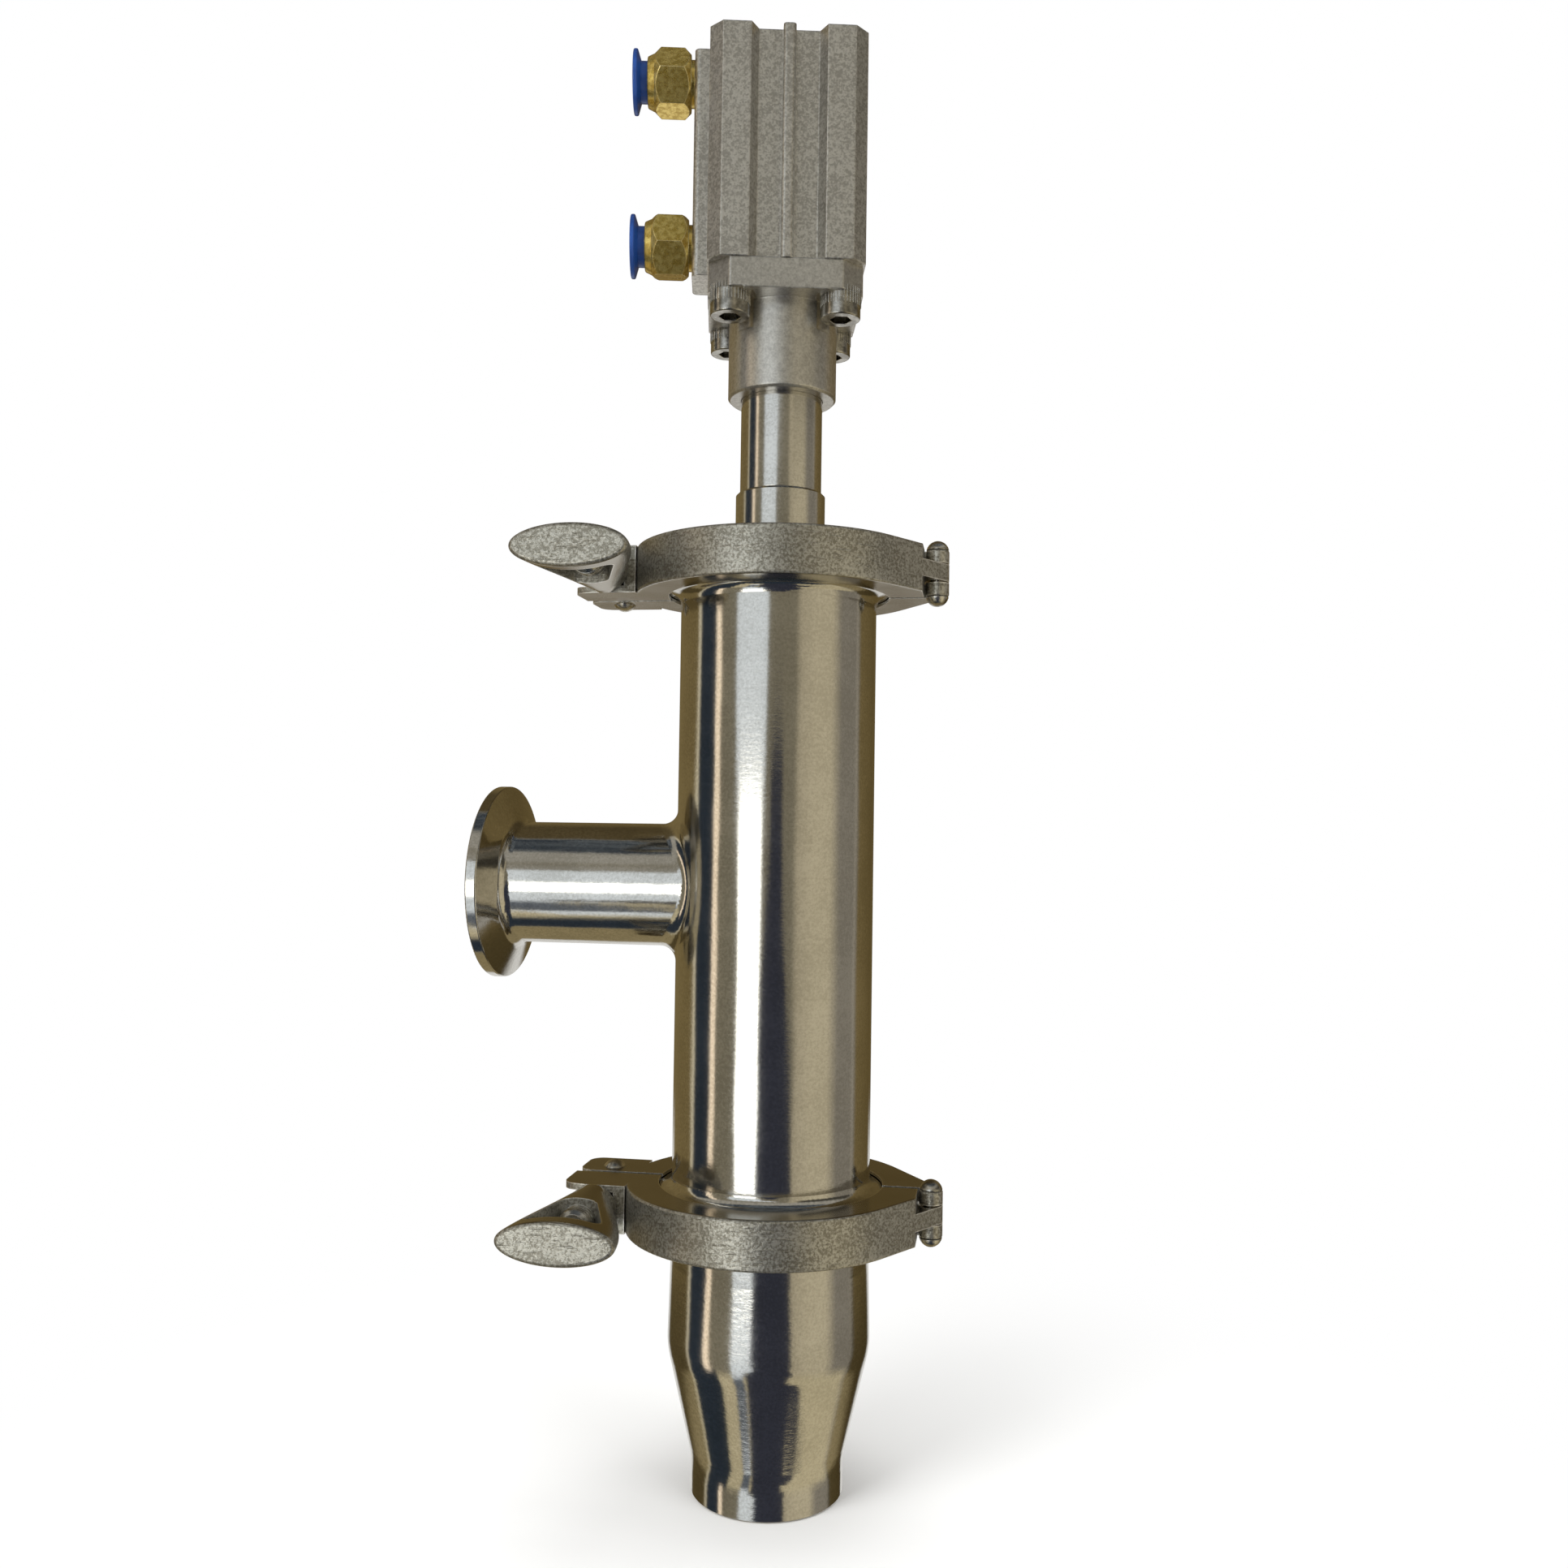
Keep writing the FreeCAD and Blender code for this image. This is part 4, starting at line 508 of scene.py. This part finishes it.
def make_camera():
    turn = math.radians(CAMERA_TURN)
    forward = Vector((-math.sin(turn) * math.cos(CAMERA_TILT),
                      math.cos(turn) * math.cos(CAMERA_TILT), math.sin(CAMERA_TILT)))
    level = Vector((math.cos(turn), math.sin(turn), 0.0))
    above = level.cross(forward)
    right = level * math.cos(CAMERA_ROLL) + above * math.sin(CAMERA_ROLL)
    up = above * math.cos(CAMERA_ROLL) - level * math.sin(CAMERA_ROLL)
    data = bpy.data.cameras.new("camera")
    data.lens = CAMERA_LENS
    data.sensor_width = SENSOR_WIDTH
    data.clip_start = NEAREST_SEEN
    camera = bpy.data.objects.new("camera", data)
    scene.collection.objects.link(camera)
    stand = Matrix((right, up, -forward)).transposed().to_4x4()
    stand.translation = CAMERA_PLACE
    camera.matrix_world = stand
    scene.camera = camera


# The room that polished metal reflects. Bearings are in degrees: 0 is towards the camera, and
# they grow towards the right of the picture. Heights are sines of the angle above level. A pair
# of numbers says where a change begins and where it's complete.

TAN, DIM_TAN = rgb(0.21, 0.155, 0.065), rgb(0.13, 0.092, 0.034)
CURTAIN, GAP = rgb(0.028, 0.038, 0.052), rgb(1.35, 1.12, 0.84)
TAUPE, BEIGE, GREY = rgb(0.235, 0.21, 0.15), rgb(0.60, 0.53, 0.37), rgb(0.27, 0.245, 0.20)
WALLS = (
    (-180.0, DIM_TAN), (-150.0, TAN), (-107.0, TAN), (-105.5, rgb(0.85, 0.76, 0.55)),
    (-102.0, rgb(0.60, 0.54, 0.40)), (-100.0, CURTAIN), (-77.0, CURTAIN), (-75.0, GAP),
    (-69.5, GAP), (-67.5, TAUPE), (20.0, TAUPE), (26.0, rgb(0.50, 0.44, 0.31)), (45.0, BEIGE),
    (66.0, BEIGE), (80.0, GREY), (103.0, GREY), (106.0, rgb(0.40, 0.36, 0.29)), (108.5, GREY),
    (113.0, TAN), (150.0, DIM_TAN), (179.5, DIM_TAN),
)

NEAR_SIDE = (112.0, 100.0)
LOW_BACK, LOW_BACK_ENDS, LOW_BACK_SHARE = (-0.24, -0.33), (-0.60, -0.50), 0.6
FLOOR_BEHIND, FLOOR_BEHIND_SHARE = (-0.50, -0.60), 0.5
CURTAIN_LEFT, CURTAIN_RIGHT, CURTAIN_FOOT = (-104.0, -101.0), (-60.0, -64.0), (-0.44, -0.54)
FLOOR_AHEAD = (-0.44, -0.58)
HIGH_BACK, HIGH_BACK_SHARE = (0.45, 0.75), 0.6
PALE_BACK, PALE_BACK_TOP, PALE_BACK_FOOT = (150.0, 158.0), (-0.18, -0.24), (-0.64, -0.56)
DIM_SIDE, DIM_SIDE_LEFT, DIM_SIDE_RIGHT = (0.26, 0.36), (26.0, 40.0), (112.0, 100.0)
CEILING, OVERHEAD, UNDERFOOT = (0.52, 0.66), (0.80, 0.86), (-0.84, -0.92)

# Each step of an outline: the two heights it lies between, and the degrees that it adds
WINDOW_LEFT, WINDOW_LEFT_STEPS = -44.0, ((0.0, 0.06, -6.0),)
WINDOW_RIGHT, WINDOW_RIGHT_STEPS = -14.5, ((0.0, 0.06, 5.0), (0.28, 0.40, 22.0),
                                           (-0.43, -0.50, -13.0))
WINDOW_EDGE = 3.0
WINDOW_TOP, WINDOW_FOOT = (0.62, 0.48), (-0.88, -0.80)
FULL_LIGHT_TOP, FULL_LIGHT_FOOT = (0.06, -0.01), (-0.268, -0.254)
DIMMED_TOP, DIMMED_FOOT, GREYED = (-0.50, -0.60), (-0.764, -0.756), (0.36, 0.42)

PANEL_TOP, PANEL_EDGE = (0.09, 0.06), 1.5
PANEL_LEFT_STEPS = ((0.09, 0.045, 6.5), (0.03, -0.22, 11.0), (-0.43, -0.50, 9.0),
                    (-0.74, -0.752, 14.0), (-0.758, -0.768, -14.0))
PANEL_RIGHT_STEPS = ((0.09, 0.045, 7.5), (0.03, -0.30, 17.0), (-0.60, -0.73, 22.0),
                     (-0.745, -0.753, 16.0), (-0.756, -0.764, -14.0), (-0.766, -0.781, -20.0))
PANEL_RAGGED = (0.0, -0.5, 8.0, 22.0)


def outline(height, bearing, steps):
    """A bearing that shifts with the height, step by step."""
    for start, end, degrees in steps:
        bearing = bearing + height.between(start, end, 0.0, degrees)
    return bearing


def walls_and_floor(recipe, turn, bearing, height, ahead):
    """The bands of the walls, dim at the back, with the floor, a side and the ceiling."""
    stops = [(0.5 + degrees / 360.0, colour) for degrees, colour in WALLS]
    room = recipe.add("ShaderNodeValToRGB", {"stops": stops}, {0: turn})
    back = 1.0 - ahead
    low_back = height.between(*LOW_BACK, 0.0, LOW_BACK_SHARE) * height.between(*LOW_BACK_ENDS)
    room = recipe.mix(back * low_back, room, rgb(0.02, 0.015, 0.006))
    floor_behind = back * height.between(*FLOOR_BEHIND, 0.0, FLOOR_BEHIND_SHARE)
    room = recipe.mix(floor_behind, room, rgb(0.42, 0.35, 0.20))
    near_curtain = bearing.between(*CURTAIN_LEFT) * bearing.between(*CURTAIN_RIGHT)
    room = recipe.mix(near_curtain * height.between(*CURTAIN_FOOT), room, CURTAIN)
    floor_ahead = height.between(*FLOOR_AHEAD) * ahead * (1.0 - near_curtain)
    room = recipe.mix(floor_ahead, room, rgb(0.62, 0.54, 0.35))
    high_back = back * height.between(*HIGH_BACK, 0.0, HIGH_BACK_SHARE)
    room = recipe.mix(high_back, room, rgb(0.03, 0.022, 0.012))
    pale_back = abs(bearing).between(*PALE_BACK) * height.between(*PALE_BACK_TOP)
    pale_back = pale_back * height.between(*PALE_BACK_FOOT)
    room = recipe.mix(pale_back, room, rgb(0.80, 0.79, 0.76))
    dim_side = height.between(*DIM_SIDE) * bearing.between(*DIM_SIDE_LEFT)
    dim_side = dim_side * bearing.between(*DIM_SIDE_RIGHT)
    room = recipe.mix(dim_side, room, rgb(0.07, 0.064, 0.05))
    return recipe.mix(height.between(*CEILING) * ahead, room, rgb(0.40, 0.38, 0.33))


def add_window(recipe, room, bearing, height):
    """The tall window to the left: brightest at the middle height, dimmed above and below."""
    left = outline(height, WINDOW_LEFT, WINDOW_LEFT_STEPS)
    right = outline(height, WINDOW_RIGHT, WINDOW_RIGHT_STEPS)
    inside = (bearing - left).between(0.0, WINDOW_EDGE)
    inside = inside * (right - bearing).between(0.0, WINDOW_EDGE)
    inside = inside * height.between(*WINDOW_TOP) * height.between(*WINDOW_FOOT)
    full_light = height.between(*FULL_LIGHT_TOP) * height.between(*FULL_LIGHT_FOOT)
    dimmed = height.between(*DIMMED_TOP) * height.between(*DIMMED_FOOT)
    pane = recipe.mix(full_light, rgb(0.86, 0.92, 0.96), rgb(3.0, 3.0, 2.85))
    pane = recipe.mix(dimmed, pane, rgb(0.13, 0.15, 0.18))
    pane = recipe.mix(height.between(*GREYED), pane, rgb(0.34, 0.32, 0.27))
    return recipe.mix(inside, room, pane)


def add_dark_panel(recipe, room, direction, bearing, height):
    """A dark upright panel straight ahead, wider and more ragged towards its foot."""
    ragged = (recipe.noise(direction, 12.0, 3.0) - 0.5) * height.between(*PANEL_RAGGED)
    reach_left = outline(height, 0.0, PANEL_LEFT_STEPS)
    reach_right = outline(height, 0.0, PANEL_RIGHT_STEPS)
    inside = (bearing + reach_left + ragged).between(-PANEL_EDGE, PANEL_EDGE)
    inside = inside * (reach_right - bearing + ragged).between(-PANEL_EDGE, PANEL_EDGE)
    return recipe.mix(inside * height.between(*PANEL_TOP), room, rgb(0.040, 0.043, 0.060))


def studio_world():
    """White for the camera, even grey light for the surfaces, and the room that polished metal
    sees: a tall window, dark curtains, pale walls, a dark panel in front and a dim back."""
    world = bpy.data.worlds.new("studio")
    world.use_nodes = True
    scene.world = world
    recipe = Recipe(world.node_tree)
    direction = recipe.add("ShaderNodeTexCoord", out="Generated")
    x, y, height = recipe.axes(direction)
    towards_camera = 0.5 - CAMERA_TURN / 360.0
    turn = (recipe.reckon("ARCTAN2", x, y * -1.0) / math.tau + towards_camera).fraction()
    bearing = (turn - 0.5) * 360.0
    ahead = abs(bearing).between(*NEAR_SIDE)

    room = walls_and_floor(recipe, turn, bearing, height, ahead)
    room = add_window(recipe, room, bearing, height)
    room = add_dark_panel(recipe, room, direction, bearing, height)
    stripes = recipe.noise(recipe.stretched(direction, (0.4, 9.0, 9.0)), 2.0, 1.0)
    stripes = abs(stripes - 0.5).between(0.02, 0.07)
    striped = recipe.mix(stripes, rgb(0.20, 0.22, 0.23), CURTAIN)
    room = recipe.mix(height.between(*OVERHEAD) * ahead, room, striped)
    room = recipe.mix(height.between(*UNDERFOOT) * ahead, room, CURTAIN)

    glossy = recipe.add("ShaderNodeLightPath", out="Is Glossy Ray")
    seen = recipe.add("ShaderNodeLightPath", out="Is Camera Ray")
    colour = recipe.mix(glossy, rgb(0.62, 0.62, 0.62), room)
    colour = recipe.mix(seen, colour, rgb(1.0, 1.0, 1.0))
    background = recipe.add("ShaderNodeBackground", sockets={"Color": colour})
    recipe.add("ShaderNodeOutputWorld", sockets={"Surface": background})


# Lamps and floor, in metres and watts

AIM = Vector((0.0, 0.0, 0.19))
SOFT_BOXES = (
    ("key_box", (-0.55, -0.75, 0.75), 0.5, 0.8, 9.0),
    ("fill_box", (0.8, -0.55, 0.45), 0.6, 0.9, 5.0),
    ("top_box", (0.0, 0.2, 1.3), 0.8, 0.8, 6.0),
)
FLOOR_REACH = 6.0
FLOOR_DROP = 0.5 * MM          # below the nozzle's tip
FLOOR_WHITENS = (0.05, 0.22)   # how far out the shadowed floor turns white


def soft_box(name, place, width, height, power):
    """A soft lamp that lights matt surfaces and isn't seen in polished ones."""
    data = bpy.data.lights.new(name, "AREA")
    data.shape = "RECTANGLE"
    data.size = width
    data.size_y = height
    data.energy = power
    lamp = bpy.data.objects.new(name, data)
    scene.collection.objects.link(lamp)
    lamp.location = place
    lamp.rotation_euler = (AIM - Vector(place)).to_track_quat("-Z", "Y").to_euler()
    lamp.visible_camera = False
    lamp.visible_glossy = False


def make_floor():
    """A pale floor that keeps the shadow near the object and turns white further out."""
    mesh = bpy.data.meshes.new("floor")
    corners = [(-FLOOR_REACH, -FLOOR_REACH, 0), (FLOOR_REACH, -FLOOR_REACH, 0),
               (FLOOR_REACH, FLOOR_REACH, 0), (-FLOOR_REACH, FLOOR_REACH, 0)]
    mesh.from_pydata(corners, [], [(0, 1, 2, 3)])
    floor = bpy.data.objects.new("floor", mesh)
    scene.collection.objects.link(floor)
    floor.location.z = -FLOOR_DROP
    material, recipe = new_material("pale_floor")
    x, y, _ = recipe.axes(recipe.place())
    away = (x * x + y * y) ** 0.5
    seen = recipe.add("ShaderNodeLightPath", out="Is Camera Ray")
    paint = recipe.add("ShaderNodeBsdfPrincipled",
                       sockets={"Base Color": rgb(0.9, 0.9, 0.89), "Roughness": 0.6})
    white = recipe.add("ShaderNodeEmission",
                       sockets={"Color": rgb(1.0, 1.0, 1.0), "Strength": 1.0})
    cover = recipe.add("ShaderNodeMixShader",
                       sockets={0: seen * away.between(*FLOOR_WHITENS), 1: paint, 2: white})
    recipe.add("ShaderNodeOutputMaterial", sockets={"Surface": cover})
    mesh.materials.append(material)
    floor.visible_glossy = False


finish_cad_nodes()
make_threads()
make_knurls()
make_camera()
studio_world()
for box in SOFT_BOXES:
    soft_box(*box)
make_floor()
scene.view_settings.view_transform = "Standard"
